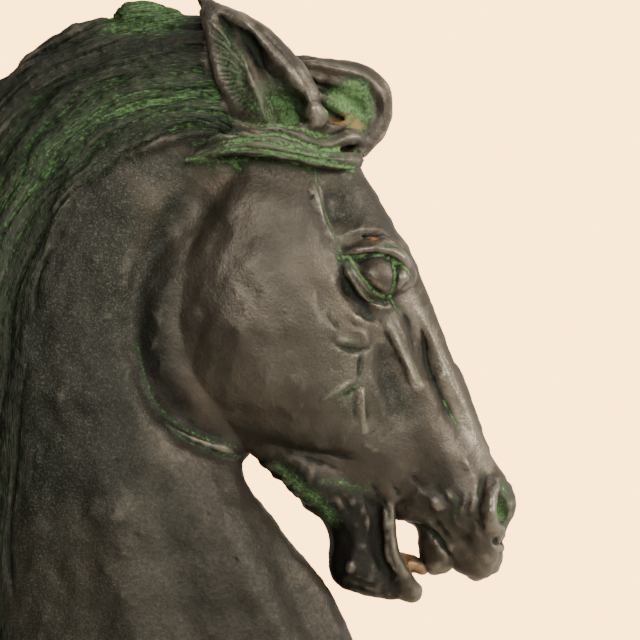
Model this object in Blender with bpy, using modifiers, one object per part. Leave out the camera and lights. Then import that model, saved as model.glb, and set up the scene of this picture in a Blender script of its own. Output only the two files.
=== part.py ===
"""Horse head bust, one bronze casting with a green patina, cut flat below the neck.

The horse faces +X, its right side is at -Y and +Z is up. The origin is on the flat underside, in its middle.
"""

import bmesh
import bpy
import numpy as np
from mathutils import Vector
from mathutils.bvhtree import BVHTree

# Driving dimensions, in metres
HEAD_LENGTH = 0.300  # poll to lips, measured along the face
FACET_COUNT = 9600  # triangles left in the finished casting

# Pose and proportions are in clay units: one five-hundredth of the head's length.
# Points of the side view are (x, z): x forward from the middle of the base, z up from it.
UNIT = HEAD_LENGTH / 500
GRAIN = 3 * UNIT  # how finely the modelled mass is divided
SPARE_FOOT = 8  # left below the base until the facets are made, then cut off
LEVELS = (0.1, 0.3, 0.5, 0.7, 0.9)  # shares of a section, front to back, where its half widths are given
NEAR, FAR, BOTH = -1, 1, 0  # the horse's right side, its left side, and both
NO_LIMIT = 1e6

# Sections of the neck: throat point, crest point, half widths at LEVELS, roundness
NECK = (
    ((150, 600), (92, 700), (44, 46, 44, 42, 38), 0.6),
    ((120, 520), (44, 708), (56, 56, 53, 49, 42), 0.6),
    ((105, 420), (-16, 698), (60, 60, 58, 54, 42), 0.6),
    ((101, 338), (-74, 678), (60, 62, 64, 58, 42), 0.6),
    ((101, 284), (-132, 638), (60, 64, 70, 64, 44), 0.6),
    ((105, 260), (-186, 562), (62, 70, 77, 71, 47), 0.6),
    ((124, 232), (-218, 480), (68, 80, 85, 76, 46), 0.6),
    ((158, 190), (-236, 392), (76, 88, 91, 82, 50), 0.6),
    ((190, 147), (-243, 300), (82, 95, 97, 88, 54), 0.6),
    ((212, 103), (-247, 200), (88, 101, 103, 94, 58), 0.6),
    ((233, 52), (-249, 98), (92, 106, 108, 99, 62), 0.6),
    ((250, 0), (-251, 0), (96, 110, 112, 103, 66), 0.6),
    ((272, -48), (-252, -60), (98, 112, 114, 105, 68), 0.6),
)

# Sections of the head from poll to mid face: forehead or nose point, jaw point, half widths, roundness
HEAD = (
    ((182, 652), (104, 606), (28, 36, 38, 34, 26), 0.8),
    ((202, 610), (54, 572), (50, 60, 60, 56, 48), 0.6),
    ((219, 572), (20, 520), (62, 70, 70, 68, 60), 0.5),
    ((244, 527), (4, 468), (70, 76, 76, 77, 68), 0.45),
    ((268, 489), (-2, 424), (66, 76, 81, 82, 72), 0.45),
    ((291, 440), (8, 376), (48, 70, 80, 82, 70), 0.45),
    ((308, 400), (40, 334), (37, 59, 73, 76, 62), 0.45),
    ((327, 357), (90, 295), (34, 50, 60, 63, 48), 0.5),
    ((342, 322), (123, 264), (32, 43, 50, 49, 37), 0.55),
    ((353, 294), (160, 236), (33, 43, 44, 40, 30), 0.6),
    ((358, 274), (198, 222), (28, 36, 36, 30, 20), 0.7),
)

# Sections of the nose and upper lip: nose point, palate or lip point, half widths, roundness
MUZZLE = (
    ((321, 375), (190, 330), (30, 42, 48, 44, 36), 0.6),
    ((344, 316), (222, 262), (30, 42, 46, 42, 32), 0.6),
    ((357, 282), (250, 222), (34, 46, 46, 44, 30), 0.6),
    ((367, 265), (266, 218), (40, 52, 48, 42, 28), 0.6),
    ((375, 249), (282, 206), (42, 56, 50, 41, 28), 0.55),
    ((378, 231), (296, 191), (40, 54, 48, 40, 28), 0.55),
    ((371, 206), (309, 177), (32, 44, 43, 38, 28), 0.6),
    ((367, 184), (322, 166), (26, 36, 38, 35, 26), 0.6),
    ((359, 166), (334, 156), (17, 23, 26, 23, 18), 0.7),
    ((352, 158), (339, 154), (7, 9, 10, 9, 6), 0.9),
)

# Sections of the lower jaw and lip: mouth point, underside point, half widths, roundness
JAW = (
    ((205, 302), (110, 279), (30, 40, 44, 44, 36), 0.6),
    ((232, 262), (129, 258), (28, 38, 42, 42, 34), 0.6),
    ((248, 230), (155, 237), (28, 36, 38, 35, 28), 0.5),
    ((250, 209), (181, 221), (28, 33, 33, 31, 25), 0.5),
    ((252, 194), (190, 201), (26, 31, 30, 30, 25), 0.5),
    ((255, 182), (189, 180), (25, 30, 29, 31, 26), 0.5),
    ((260, 170), (193, 158), (22, 28, 30, 32, 26), 0.5),
    ((266, 158), (212, 147), (18, 25, 28, 29, 22), 0.6),
    ((268, 146), (242, 139), (12, 18, 21, 20, 16), 0.8),
)

# Gum and teeth under the upper lip in sections, and the tongue as rows of (x, y, z, radius)
GUM = (
    ((300, 232), (278, 222), (20, 22, 22, 21, 18), 0.6),
    ((308, 220), (280, 204), (20, 23, 23, 22, 18), 0.6),
    ((316, 206), (282, 186), (20, 23, 23, 22, 18), 0.6),
    ((322, 192), (288, 170), (18, 21, 21, 20, 16), 0.6),
    ((322, 180), (298, 163), (12, 15, 15, 14, 10), 0.8),
)
TONGUE = (
    (236, 0, 196, 6),
    (248, 0, 185, 7),
    (260, 0, 179, 8),
    (272, 0, 175, 7.5),
    (281, 0, 170, 5.5),
    (287, 0, 166, 3),
)
TONGUE_FLATNESS = 2.6

# Masses on each side: the bone round the eye, and the nostril's hollow, as rows of (x, y, z, radius)
EYE_BONE = (
    (180, -56, 474, 10),
    (202, -63, 472, 23),
    (226, -65, 468, 28),
    (248, -58, 463, 21),
    (264, -48, 456, 9),
)
NOSTRIL = (
    (369, -76, 232, 26),
    (363, -56, 232, 25),
    (356, -41, 231, 19),
    (345, -27, 229, 11),
    (334, -16, 225, 5),
)
NOSTRIL_FLATNESS = 0.72
LIP_ROLL = (
    (246, -26, 246, 6),
    (242, -29, 228, 10),
    (243, -29, 205, 11),
    (247, -27, 184, 11),
    (256, -22, 167, 11),
    (267, -14, 149, 11.5),
    (270, -4, 145, 11),
)
EYE_FRONT = (222, 87, 463)  # the ball's outermost point
EYE_RADIUS = 24
CORNER_FRONT = (246, 81, 459)  # the same for the flesh in the eye's front corner
CORNER_RADIUS = 14

# Ear sections, base to tip: front rim, rear rim, half thickness at LEVELS, roundness, sideways middle
EAR = (
    ((176, 596), (92, 590), (20, 24, 24, 20, 12), 0.7, 44),
    ((174, 618), (82, 616), (20, 24, 23, 18, 10), 0.7, 52),
    ((166, 640), (73, 636), (17, 21, 20, 16, 8), 0.7, 55),
    ((154, 663), (66, 658), (14, 18, 17, 13, 7), 0.7, 55),
    ((136, 687), (60, 680), (11, 14, 13, 10, 6), 0.7, 52),
    ((110, 706), (56, 702), (9, 10, 9, 8, 5), 0.7, 47),
    ((82, 721), (52, 720), (6, 7, 7, 6, 4), 0.8, 42),
    ((66, 733), (51, 733), (4, 5, 5, 4, 3), 0.9, 38),
)
EAR_HOLLOW = (
    ((160, 612), (126, 606), (12, 20, 22, 16, 8), 0.8, 70),
    ((158, 630), (109, 623), (14, 22, 22, 13, 4), 0.8, 74),
    ((146, 648), (98, 642), (13, 20, 19, 11, 3), 0.8, 75),
    ((128, 665), (90, 661), (11, 16, 14, 8, 2), 0.8, 72),
    ((112, 682), (82, 679), (8, 12, 10, 6, 2), 0.8, 66),
    ((93, 699), (73, 698), (5, 7, 6, 4, 1), 0.8, 57),
    ((76, 714), (65, 713), (2, 3, 3, 2, 1), 0.9, 50),
)
EAR_INSIDE = 40  # how far from the middle the ears' hollows begin
FAR_EAR_TURN = 5.5  # degrees that the far ear leans further forward

# The forelock: a roll of hair over the forehead, in sections from its outer line to the middle of the roll
FORELOCK_ROLL = (
    ((88, 700), (96, 650), (24, 34, 36, 34, 28), 0.7),
    ((120, 690), (122, 636), (32, 38, 38, 36, 30), 0.6),
    ((152, 680), (150, 622), (36, 40, 40, 36, 30), 0.5),
    ((182, 675), (172, 610), (34, 39, 39, 36, 30), 0.5),
    ((211, 671), (188, 600), (34, 40, 40, 38, 32), 0.5),
    ((232, 656), (190, 594), (34, 40, 42, 40, 34), 0.5),
    ((244, 636), (188, 588), (34, 42, 44, 42, 36), 0.5),
    ((247, 618), (184, 582), (34, 42, 46, 44, 38), 0.5),
    ((236, 601), (180, 574), (32, 40, 46, 46, 40), 0.5),
    ((221, 581), (180, 562), (24, 32, 38, 38, 32), 0.7),
)
# Locks of the forelock: points (x, y, z) with y from the middle outwards, then the radius at each point
LOOP_LOCK = (
    (122, -18, 680, 7),
    (150, -30, 669, 12),
    (181, -37, 662, 14),
    (210, -39, 656, 15),
    (225, -39, 647, 14),
    (233, -38, 635, 12),
    (235, -37, 622, 11),
    (230, -38, 607, 10),
    (220, -40, 594, 9),
    (210, -44, 582, 7),
)
INNER_LOOP = (
    (176, -36, 652, 3),
    (200, -40, 645, 7),
    (217, -42, 638, 8),
    (223, -42, 625, 8),
    (221, -42, 611, 7),
    (214, -42, 600, 4),
)
ROPE_LOCK = (
    (68, -66, 612, 2),
    (84, -70, 607, 5),
    (102, -72, 600, 6.5),
    (120, -72, 602, 7),
    (138, -71, 598, 7),
    (156, -68, 591, 7),
    (174, -63, 588, 7.5),
    (192, -57, 596, 8),
    (206, -51, 599, 8),
    (216, -42, 593, 6),
)
LOWER_LOCK = (
    (36, -66, 571, 2),
    (52, -71, 577, 5),
    (80, -75, 584, 8),
    (108, -77, 585, 9),
    (136, -77, 580, 9),
    (164, -74, 575, 9),
    (192, -66, 574, 9),
    (210, -50, 576, 8),
)
UPPER_LOCK = (
    (50, -70, 581, 2),
    (68, -73, 592, 6),
    (90, -75, 595, 7),
    (112, -75, 593, 7),
    (136, -75, 587, 7),
    (160, -70, 580, 6),
)
SMALL_LOCK = (
    (150, -52, 612, 5),
    (172, -52, 606, 8),
    (190, -48, 606, 8),
    (206, -42, 611, 7),
    (216, -40, 616, 4),
)
CROSS_LOCK = (
    (168, -42, 640, 5),
    (190, -42, 630, 8),
    (212, -42, 616, 6),
)
FORELOCK = (LOOP_LOCK, INNER_LOOP, ROPE_LOCK, LOWER_LOCK, UPPER_LOCK, SMALL_LOCK, CROSS_LOCK)

# The line of the crest, along which the mane's locks are laid
CREST = (
    (150, 684), (109, 708), (59, 714), (10, 711), (-32, 703), (-78, 686), (-116, 662), (-155, 627), (-186, 583),
    (-211, 530), (-228, 470), (-239, 405), (-245, 324), (-249, 228), (-251, 132), (-252, 40), (-252, -60),
)
# Locks on each side of the mane: start and end along the crest, inset at start, middle and end, thickness
MANE_LOCKS = (
    (0.00, 0.31, 8, 8, -2, 17),
    (0.02, 0.46, 26, 28, 20, 18),
    (0.03, 0.39, 46, 52, 58, 17),
    (0.04, 0.53, 66, 74, 64, 17),
    (0.05, 0.35, 88, 97, 108, 15),
    (0.06, 0.43, 108, 121, 124, 12),
    (0.22, 0.67, 6, 2, -4, 18),
    (0.26, 0.78, 40, 30, 20, 17),
    (0.31, 0.68, 92, 84, 92, 16),
    (0.33, 0.88, 62, 52, 46, 17),
    (0.48, 1.04, 10, 4, 2, 18),
    (0.56, 1.04, 36, 28, 28, 15),
    (0.61, 1.04, 70, 66, 70, 13),
)
# Grooves between strands: how many on each side of the mane, the first one's inset, and the size of each
STRAND_GROOVES = 11
FIRST_GROOVE = 8
GROOVE_PITCH = 11
GROOVE_WIDTH = 3.2
GROOVE_DEPTH = 4.5
# Where the forelock's roll is combed: the middle it turns about, its back, its foot, and the grooves' pitch
ROLL_MIDDLE = (150, 620)
ROLL_BACK = 120
ROLL_FOOT = 566
ROLL_PITCH = 12.5
TOP_LOCK = (
    (62, -4, 702, 8),
    (40, -6, 711, 12),
    (14, -8, 718, 13),
    (-8, -10, 719, 13),
    (-22, -12, 712, 9),
)


def smooth_curve(points, steps):
    """Catmull-Rom curve through rows of numbers, with so many steps from each row to the next."""
    rows = np.array(points, float)
    ends = np.vstack([2 * rows[0] - rows[1], rows, 2 * rows[-1] - rows[-2]])
    made = []
    for i in range(1, len(ends) - 2):
        a, b, c, d = ends[i - 1], ends[i], ends[i + 1], ends[i + 2]
        for t in np.arange(steps) / steps:
            made.append(b + 0.5 * t * (c - a + t * (2 * a - 5 * b + 4 * c - d + t * (3 * (b - c) + d - a))))
    made.append(rows[-1])
    return np.array(made)


def new_object(name, points, faces):
    """A mesh object from points in clay units."""
    mesh = bpy.data.meshes.new(name)
    mesh.from_pydata([tuple(p) for p in np.asarray(points) * UNIT], [], faces)
    obj = bpy.data.objects.new(name, mesh)
    bpy.context.scene.collection.objects.link(obj)
    shell = bmesh.new()
    shell.from_mesh(mesh)
    bmesh.ops.recalc_face_normals(shell, faces=shell.faces)
    shell.to_mesh(mesh)
    shell.free()
    return obj


def ring_faces(rows, columns):
    """Quads between closed rings, with a fan to a last point at each end."""
    first, last = rows * columns, rows * columns + 1
    faces = []
    for c in range(columns):
        n = (c + 1) % columns
        faces.append((first, n, c))
        faces.append((last, (rows - 1) * columns + c, (rows - 1) * columns + n))
        for r in range(rows - 1):
            faces.append((r * columns + c, r * columns + n, (r + 1) * columns + n, (r + 1) * columns + c))
    return faces


def section_loft(name, sections, side=1, steps=4, half_ring=16):
    """A loft through flat sections, each across the side view from a front point to a back point."""
    rows = []
    for section in sections:
        middle = section[4] if len(section) > 4 else 0
        rows.append([*section[0], *section[1], *section[2], section[3], middle])
    rows = smooth_curve(rows, steps)
    angle = np.linspace(0, np.pi, half_ring + 1)
    share = (1 - np.cos(angle)) / 2
    points = []
    for row in rows:
        front, back, widths, roundness, middle = row[0:2], row[2:4], row[4:9], row[9], row[10]
        spread = smooth_curve([*zip((0.0, *LEVELS, 1.0), (widths[0], *widths, widths[-1]))], 6)
        half = np.interp(share, spread[:, 0], spread[:, 1]) * np.sin(angle) ** roundness
        line = front + np.outer(share, back - front)
        right = np.column_stack([line[:, 0], side * (middle + half), line[:, 1]])
        left = np.column_stack([line[:, 0], side * (middle - half), line[:, 1]])
        points.append(np.vstack([right, left[-2:0:-1]]))
    ends = [points[0].mean(axis=0), points[-1].mean(axis=0)]
    return new_object(name, np.vstack([*points, ends]), ring_faces(len(points), 2 * half_ring))


def tapered_lock(name, path, side=1, flatness=1.0, sides=12, steps=5):
    """A lock of hair: round sections along a curve of (x, y, z, radius) rows, flattened sideways."""
    rows = smooth_curve(path, steps)
    rows[:, 3] = np.maximum(rows[:, 3], 0.5)
    centres = rows[:, :3]
    ahead = np.gradient(centres, axis=0)
    ahead /= np.linalg.norm(ahead, axis=1)[:, None]
    sideways = np.array([0.0, 1.0, 0.0])
    upward = np.cross(ahead, sideways)
    upward /= np.linalg.norm(upward, axis=1)[:, None]
    outward = np.cross(upward, ahead)
    turns = np.arange(sides) * 2 * np.pi / sides
    points = []
    for centre, up, out, radius in zip(centres, upward, outward, rows[:, 3]):
        ring = centre + radius * (np.outer(np.cos(turns), up) + flatness * np.outer(np.sin(turns), out))
        points.append(ring)
    points = np.vstack([*points, centres[:1], centres[-1:]])
    points[:, 1] *= side
    return new_object(name, points, ring_faces(len(centres), sides))


def fuse(name, objects, grain):
    """Joins closed shapes and remakes them as one skin, as clay pressed together."""
    bpy.ops.object.select_all(action="DESELECT")
    for obj in objects:
        obj.select_set(True)
    bpy.context.view_layer.objects.active = objects[0]
    bpy.ops.object.join()
    fused = bpy.context.view_layer.objects.active
    fused.name = name
    fused.data.name = name
    remesh = fused.modifiers.new("One skin", "REMESH")
    remesh.mode = "VOXEL"
    remesh.voxel_size = grain
    bpy.ops.object.modifier_apply(modifier=remesh.name)
    return fused


def cut_away(obj, cutter):
    """Takes the cutter's shape out of the object, and removes the cutter."""
    boolean = obj.modifiers.new("Hollow", "BOOLEAN")
    boolean.operation = "DIFFERENCE"
    boolean.object = cutter
    bpy.context.view_layer.objects.active = obj
    bpy.ops.object.modifier_apply(modifier=boolean.name)
    bpy.data.objects.remove(cutter)


class Clay:
    """The points of a mesh in clay units, with their normals and neighbours, for modelling strokes."""

    def __init__(self, obj):
        self.obj = obj
        mesh = obj.data
        flat = np.empty(len(mesh.vertices) * 3)
        mesh.vertices.foreach_get("co", flat)
        self.points = flat.reshape(-1, 3) / UNIT
        pairs = np.empty(len(mesh.edges) * 2, int)
        mesh.edges.foreach_get("vertices", pairs)
        self.pairs = pairs.reshape(-1, 2)
        count = len(self.points)
        self.neighbours = np.bincount(self.pairs.ravel(), minlength=count).clip(1)
        self.settle()

    def settle(self):
        """Writes the points to the mesh and reads the new normals."""
        mesh = self.obj.data
        mesh.vertices.foreach_set("co", (self.points * UNIT).astype(np.float32).ravel())
        mesh.update()
        flat = np.empty(len(mesh.vertices) * 3)
        mesh.vertex_normals.foreach_get("vector", flat)
        self.normals = flat.reshape(-1, 3)

    def smooth(self, rounds, weight=1.0):
        """Moves each point towards its neighbours' middle."""
        a, b = self.pairs[:, 0], self.pairs[:, 1]
        count = len(self.points)
        for _ in range(rounds):
            for axis in range(3):
                value = self.points[:, axis]
                total = np.bincount(a, value[b], count) + np.bincount(b, value[a], count)
                value += 0.5 * weight * (total / self.neighbours - value)
        self.settle()

    def on_side(self, side, facing):
        """How far each point belongs to a side and faces sideways, from 0 to 1."""
        out = self.normals[:, 1] * np.sign(self.points[:, 1])
        held = np.clip((out - facing) / 0.3, 0, 1)
        return held if side == BOTH else held * (self.points[:, 1] * side > 0)

    def stroke(self, path, width, depth, side=BOTH, facing=0.05, fade=0.25, within=(0, NO_LIMIT), shape=2.0):
        """A ridge along a path of the side view, or a groove where depth is negative."""
        curve = smooth_curve(path, 6)
        flat = self.points[:, [0, 2]]
        reach = 2.2 * width
        box = (flat > curve.min(axis=0) - reach).all(axis=1) & (flat < curve.max(axis=0) + reach).all(axis=1)
        depth_in = np.abs(self.points[:, 1])
        index = np.nonzero(box & (depth_in >= within[0]) & (depth_in <= within[1]))[0]
        if not len(index):
            return
        gap, along = path_distance(flat[index], curve)
        ends = np.clip(np.minimum(along, 1 - along) / max(fade, 1e-6), 0, 1) if fade else 1.0
        weight = np.exp(-((gap / width) ** shape)) * ends * self.on_side(side, facing)[index]
        self.points[index] += self.normals[index] * (weight * depth)[:, None]

    def patch(self, outline, height, blend, side=BOTH, facing=0.05, within=(0, NO_LIMIT)):
        """Raises the area inside a closed outline of the side view, with a soft edge of that width."""
        curve = smooth_curve([*outline, outline[0]], 6)
        flat = self.points[:, [0, 2]]
        box = (flat > curve.min(axis=0) - blend).all(axis=1) & (flat < curve.max(axis=0) + blend).all(axis=1)
        depth_in = np.abs(self.points[:, 1])
        index = np.nonzero(box & (depth_in >= within[0]) & (depth_in <= within[1]))[0]
        gap, _ = path_distance(flat[index], curve)
        signed = np.where(inside(flat[index], curve), gap, -gap)
        weight = np.clip(0.5 + signed / blend, 0, 1)
        weight = weight * weight * (3 - 2 * weight) * self.on_side(side, facing)[index]
        self.points[index] += self.normals[index] * (weight * height)[:, None]

    def ball(self, centre, radius, outline):
        """Lays the skin inside an outline of the side view over a ball, on both sides."""
        curve = smooth_curve([*outline, outline[0]], 6)
        flat = self.points[:, [0, 2]]
        held = inside(flat, curve) & (self.on_side(BOTH, -0.3) > 0)
        index = np.nonzero(held)[0]
        across = np.linalg.norm(flat[index] - (centre[0], centre[2]), axis=1)
        out = centre[1] + np.sqrt(np.clip(radius**2 - across**2, 0, None)) - radius
        sign = np.sign(self.points[index, 1])
        self.points[index, 1] = sign * np.maximum(out, np.abs(self.points[index, 1]))


def path_distance(points, curve):
    """How far each point is from a polyline, and its place along it from 0 to 1."""
    best = np.full(len(points), 1e9)
    place = np.zeros(len(points))
    lengths = np.linalg.norm(np.diff(curve, axis=0), axis=1)
    starts = np.concatenate([[0], np.cumsum(lengths)])
    for a, b, start, length in zip(curve[:-1], curve[1:], starts, lengths):
        if length < 1e-9:
            continue
        share = np.clip((points - a) @ (b - a) / length**2, 0, 1)
        gap = np.linalg.norm(points - a - np.outer(share, b - a), axis=1)
        closer = gap < best
        best[closer] = gap[closer]
        place[closer] = ((start + share * length) / starts[-1])[closer]
    return best, place


def inside(points, curve):
    """Whether each point is inside a closed polyline."""
    x, z = points[:, 0], points[:, 1]
    found = np.zeros(len(points), bool)
    for (x0, z0), (x1, z1) in zip(curve[:-1], curve[1:]):
        if z0 == z1:
            continue
        crosses = ((z0 > z) != (z1 > z)) & (x < x0 + (x1 - x0) * (z - z0) / (z1 - z0))
        found ^= crosses
    return found


def skin_tree(obj):
    mesh = obj.data
    return BVHTree.FromPolygons([v.co for v in mesh.vertices], [p.vertices for p in mesh.polygons])


def skin_place(tree, x, z, side):
    """How far out the skin is at a point of the side view, in clay units, or None beside it."""
    start = Vector((x * UNIT, side * HEAD_LENGTH, z * UNIT))
    hit = tree.ray_cast(start, Vector((0, -side, 0)))[0]
    return None if hit is None else hit.y / UNIT


def ear(side):
    """One ear: a leaf with its hollow facing outwards. The far one leans further forward."""
    leaf = section_loft("ear", EAR, side)
    cut_away(leaf, section_loft("ear_hollow", EAR_HOLLOW, side))
    if side == FAR:
        turn = np.radians(FAR_EAR_TURN)
        pivot = Vector((130 * UNIT, 0, 600 * UNIT))
        for vertex in leaf.data.vertices:
            x, z = vertex.co.x - pivot.x, vertex.co.z - pivot.z
            vertex.co.x = pivot.x + x * np.cos(turn) + z * np.sin(turn)
            vertex.co.z = pivot.z - x * np.sin(turn) + z * np.cos(turn)
    return leaf


def crest_place(share, inset):
    """A point of the side view, along the crest by a share of its length and inwards from it."""
    curve = smooth_curve(CREST, 8)
    lengths = np.concatenate([[0], np.cumsum(np.linalg.norm(np.diff(curve, axis=0), axis=1))])
    at = share * lengths[-1]
    x, z = np.interp(at, lengths, curve[:, 0]), np.interp(at, lengths, curve[:, 1])
    dx = np.interp(at + 4, lengths, curve[:, 0]) - np.interp(at - 4, lengths, curve[:, 0])
    dz = np.interp(at + 4, lengths, curve[:, 1]) - np.interp(at - 4, lengths, curve[:, 1])
    size = max(np.hypot(dx, dz), 1e-6)
    return x - dz / size * inset, z + dx / size * inset


def mane(tree):
    """The mane's locks, laid on the skin on both sides of the crest."""
    locks = []
    for number, (start, end, inset_start, inset_middle, inset_end, thickness) in enumerate(MANE_LOCKS):
        for side in (NEAR, FAR):
            slip = 0.02 * side * np.sin(2.1 * number)
            path = []
            for step in range(9):
                share = step / 8
                inset = np.interp(share, (0, 0.5, 1), (inset_start, inset_middle, inset_end))
                inset += 5 * np.sin(2.2 * np.pi * share + 1.3 * number)
                x, z = crest_place(start + slip + share * (end - start), inset)
                radius = thickness * min(1.0, 0.35 + 2.6 * share, 0.06 + 2.4 * (1 - share))
                out = skin_place(tree, x, z, side)
                if out is None:
                    out = side * 8
                path.append((x, out - side * 0.15 * radius, z, radius))
            locks.append(tapered_lock("mane_lock", path, 1, 0.75))
    for side in (NEAR, FAR):
        locks.append(tapered_lock("top_lock", TOP_LOCK, -side))
    return locks


def model_strokes(clay):
    """The muscles, bones and folds of the head and neck."""
    # Cheek: a broad plate over the jaw, flat in the middle and undercut behind
    cheek = ((100, 549), (81, 535), (52, 508), (28, 477), (10, 448), (6, 420), (9, 396),
             (18, 373), (33, 348), (53, 329), (74, 316), (96, 306), (126, 301), (169, 293),
             (204, 300), (212, 350), (206, 410), (180, 470), (140, 530))
    clay.patch(cheek, 6, 30)
    fullness = ((110, 500), (72, 482), (50, 440), (46, 402), (62, 366), (96, 345), (150, 335), (180, 360),
                (176, 410), (156, 460))
    clay.patch(fullness, 5, 64)
    clay.settle()
    behind_cheek = ((22, 516), (2, 476), (-8, 440), (-9, 411), (-4, 378), (8, 348), (24, 332), (41, 321),
                    (61, 309), (79, 302), (97, 294))
    clay.stroke(behind_cheek, 12, -9, fade=0.2)
    clay.stroke(((20, 320), (36, 305), (51, 298), (77, 288), (96, 284)), 5, -4)
    clay.stroke(((14, 327), (34, 314), (54, 304), (78, 295), (98, 288)), 5, 3)
    # Hollow behind the jaw and under the ear
    clay.stroke(((76, 560), (50, 535), (20, 498), (-4, 455)), 20, -8)
    # Hollow of the temple, and the bony ridge that bounds it
    clay.stroke(((182, 560), (186, 530), (196, 505)), 15, -11, fade=0.3)
    clay.stroke(((160, 564), (165, 540), (172, 516), (180, 498), (188, 487)), 7, 6)
    # Brow over the eye
    clay.stroke(((188, 494), (206, 500), (228, 500), (250, 490), (262, 474)), 10, 7)
    # The bone under the eye, and the long hollow of the face in front of it
    clay.stroke(((196, 440), (206, 420), (216, 390), (226, 350), (236, 322)), 9, 5)
    clay.stroke(((232, 410), (240, 380), (250, 345), (262, 312)), 14, -5)
    clay.stroke(((243, 426), (254, 399), (266, 370), (276, 340)), 7, 5)
    # Edge of the nasal bone
    clay.stroke(((270, 425), (280, 396), (288, 366), (300, 338), (314, 312), (322, 300)), 6, -5, facing=-0.1)
    nose_bone = ((262, 448), (276, 420), (293, 390), (308, 356), (322, 330), (335, 302), (344, 280))
    clay.stroke(nose_bone, 6, 4, facing=-0.1)
    # Lower edge of the cheek and the flat side of the jaw below it
    clay.stroke(((100, 300), (126, 297), (169, 288), (216, 286)), 6, -4)
    clay.stroke(((150, 272), (180, 262), (206, 256)), 14, 3)
    clay.stroke(((160, 244), (176, 236), (196, 232), (214, 224)), 9, -3)
    # Lips: the roll of the lower lip with the groove behind it, and the lower edge of the upper lip
    clay.stroke(((232, 240), (230, 218), (230, 198), (236, 178), (248, 162)), 5, -5, fade=0.2)
    clay.stroke(((254, 224), (268, 224), (284, 216), (298, 204), (310, 190), (322, 176)), 6, 3)
    clay.stroke(((264, 216), (280, 213), (292, 204), (303, 192), (311, 178)), 3, -4, within=(12, 60))
    clay.stroke(((246, 258), (258, 246), (262, 232)), 6, -3)
    # Nostril: its rim, and the crease behind it
    nostril_rim = ((366, 264), (354, 258), (345, 248), (342, 233), (346, 217), (358, 206))
    clay.stroke(nostril_rim, 5, 6, facing=-0.3, within=(20, 99))
    clay.stroke(((352, 270), (339, 260), (332, 247), (331, 231), (337, 214)), 4, -5)
    clay.stroke(((346, 206), (360, 198), (372, 194)), 5, -4, facing=-0.1)
    # Muscles of the neck
    clay.stroke(((60, 280), (80, 220), (106, 160), (134, 90), (150, 20)), 22, 6)
    clay.stroke(((10, 290), (18, 220), (40, 140), (60, 60), (72, 0)), 20, -6)
    clay.stroke(((-40, 320), (-34, 240), (-18, 150), (0, 60), (10, 0)), 22, 6)
    clay.stroke(((118, 220), (140, 170), (168, 110), (190, 40)), 14, -4)
    clay.settle()


def carve_mane(clay):
    """Grooves between the strands of the mane, following the crest."""
    for number in range(STRAND_GROOVES):
        line = []
        for share in np.linspace(0.02, 1.0, 27):
            sway = 6 * np.sin(9 * share + 0.9 * number) + 3 * np.sin(23 * share + 2.3 * number)
            line.append(crest_place(share, FIRST_GROOVE + number * GROOVE_PITCH + sway))
        clay.stroke(line, GROOVE_WIDTH, -GROOVE_DEPTH, facing=-0.2, fade=0.04)
    clay.settle()


def comb_forelock(clay):
    """Grooves over the roll of the forelock, from the poll to the forehead."""
    x, z = clay.points[:, 0], clay.points[:, 2]
    turn = np.arctan2(z - ROLL_MIDDLE[1], x - ROLL_MIDDLE[0])
    held = np.clip((x - ROLL_BACK) / 30, 0, 1) * np.clip((z - ROLL_FOOT) / 20, 0, 1)
    held *= np.clip((0.75 - np.abs(clay.normals[:, 1])) / 0.3, 0, 1)
    grooves = np.zeros(len(x))
    for number in range(-3, 4):
        line = ROLL_PITCH * number + 4 * np.sin(1.7 * turn + 1.9 * number)
        grooves += np.exp(-(((clay.points[:, 1] - line) / GROOVE_WIDTH) ** 2))
    clay.points -= clay.normals * (GROOVE_DEPTH * held * grooves)[:, None]
    clay.settle()


def model_ears(clay):
    """The rim, the fold and the bowl of the near ear's hollow, and the knob below it."""
    inner = (EAR_INSIDE, NO_LIMIT)
    clay.stroke(((56, 730), (61, 700), (68, 670), (78, 642), (94, 618)), 4, 1.5, within=inner)
    front_band = ((64, 732), (88, 716), (113, 698), (134, 676), (150, 653), (163, 630), (174, 612))
    clay.stroke(front_band, 10, 5, within=inner, shape=3)
    clay.stroke(((78, 712), (94, 696), (106, 680), (116, 664), (126, 652)), 5, -5, within=inner)
    clay.patch(((118, 636), (142, 640), (156, 626), (154, 610), (132, 606), (116, 616)), -5, 12, within=inner)
    clay.patch(((150, 624), (164, 628), (178, 620), (176, 608), (160, 606)), 6, 10, within=inner)
    clay.settle()


def throat_hollow(clay):
    """The hollow between the two bones of the jaw, seen from below."""
    path = smooth_curve(((70, 318), (110, 286), (140, 258), (166, 234)), 6)
    gap, along = path_distance(clay.points[:, [0, 2]], path)
    ends = np.clip(np.minimum(along, 1 - along) / 0.2, 0, 1)
    under = np.clip(-0.6 * clay.normals[:, 0] - 0.8 * clay.normals[:, 2], 0, 1)
    middle = np.exp(-((clay.points[:, 1] / 20) ** 4))
    weight = np.exp(-((gap / 26) ** 2)) * ends * under * middle
    clay.points += np.outer(24 * weight, (0.6, 0, 0.8))
    clay.settle()


def eyes(clay):
    """Eyeball and lids, on both sides."""
    opening = ((197, 481), (211, 463), (221, 449), (237, 443), (247, 450), (254, 464), (240, 477), (222, 482))
    clay.patch(opening, -6, 4)
    clay.settle()
    clay.ball(CORNER_FRONT, CORNER_RADIUS, opening)
    clay.ball(EYE_FRONT, EYE_RADIUS, opening)
    clay.settle()
    clay.stroke(((182, 482), (201, 486), (224, 489), (240, 484), (257, 470)), 4, 5, fade=0.15)
    clay.stroke(((188, 475), (202, 456), (216, 440), (232, 432), (248, 438)), 4, 5, fade=0.15)
    clay.stroke(((188, 497), (208, 502), (232, 502), (252, 492), (264, 474)), 5, -3)
    clay.stroke(((182, 470), (194, 448), (211, 430), (232, 420)), 5, -3)
    clay.settle()


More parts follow.
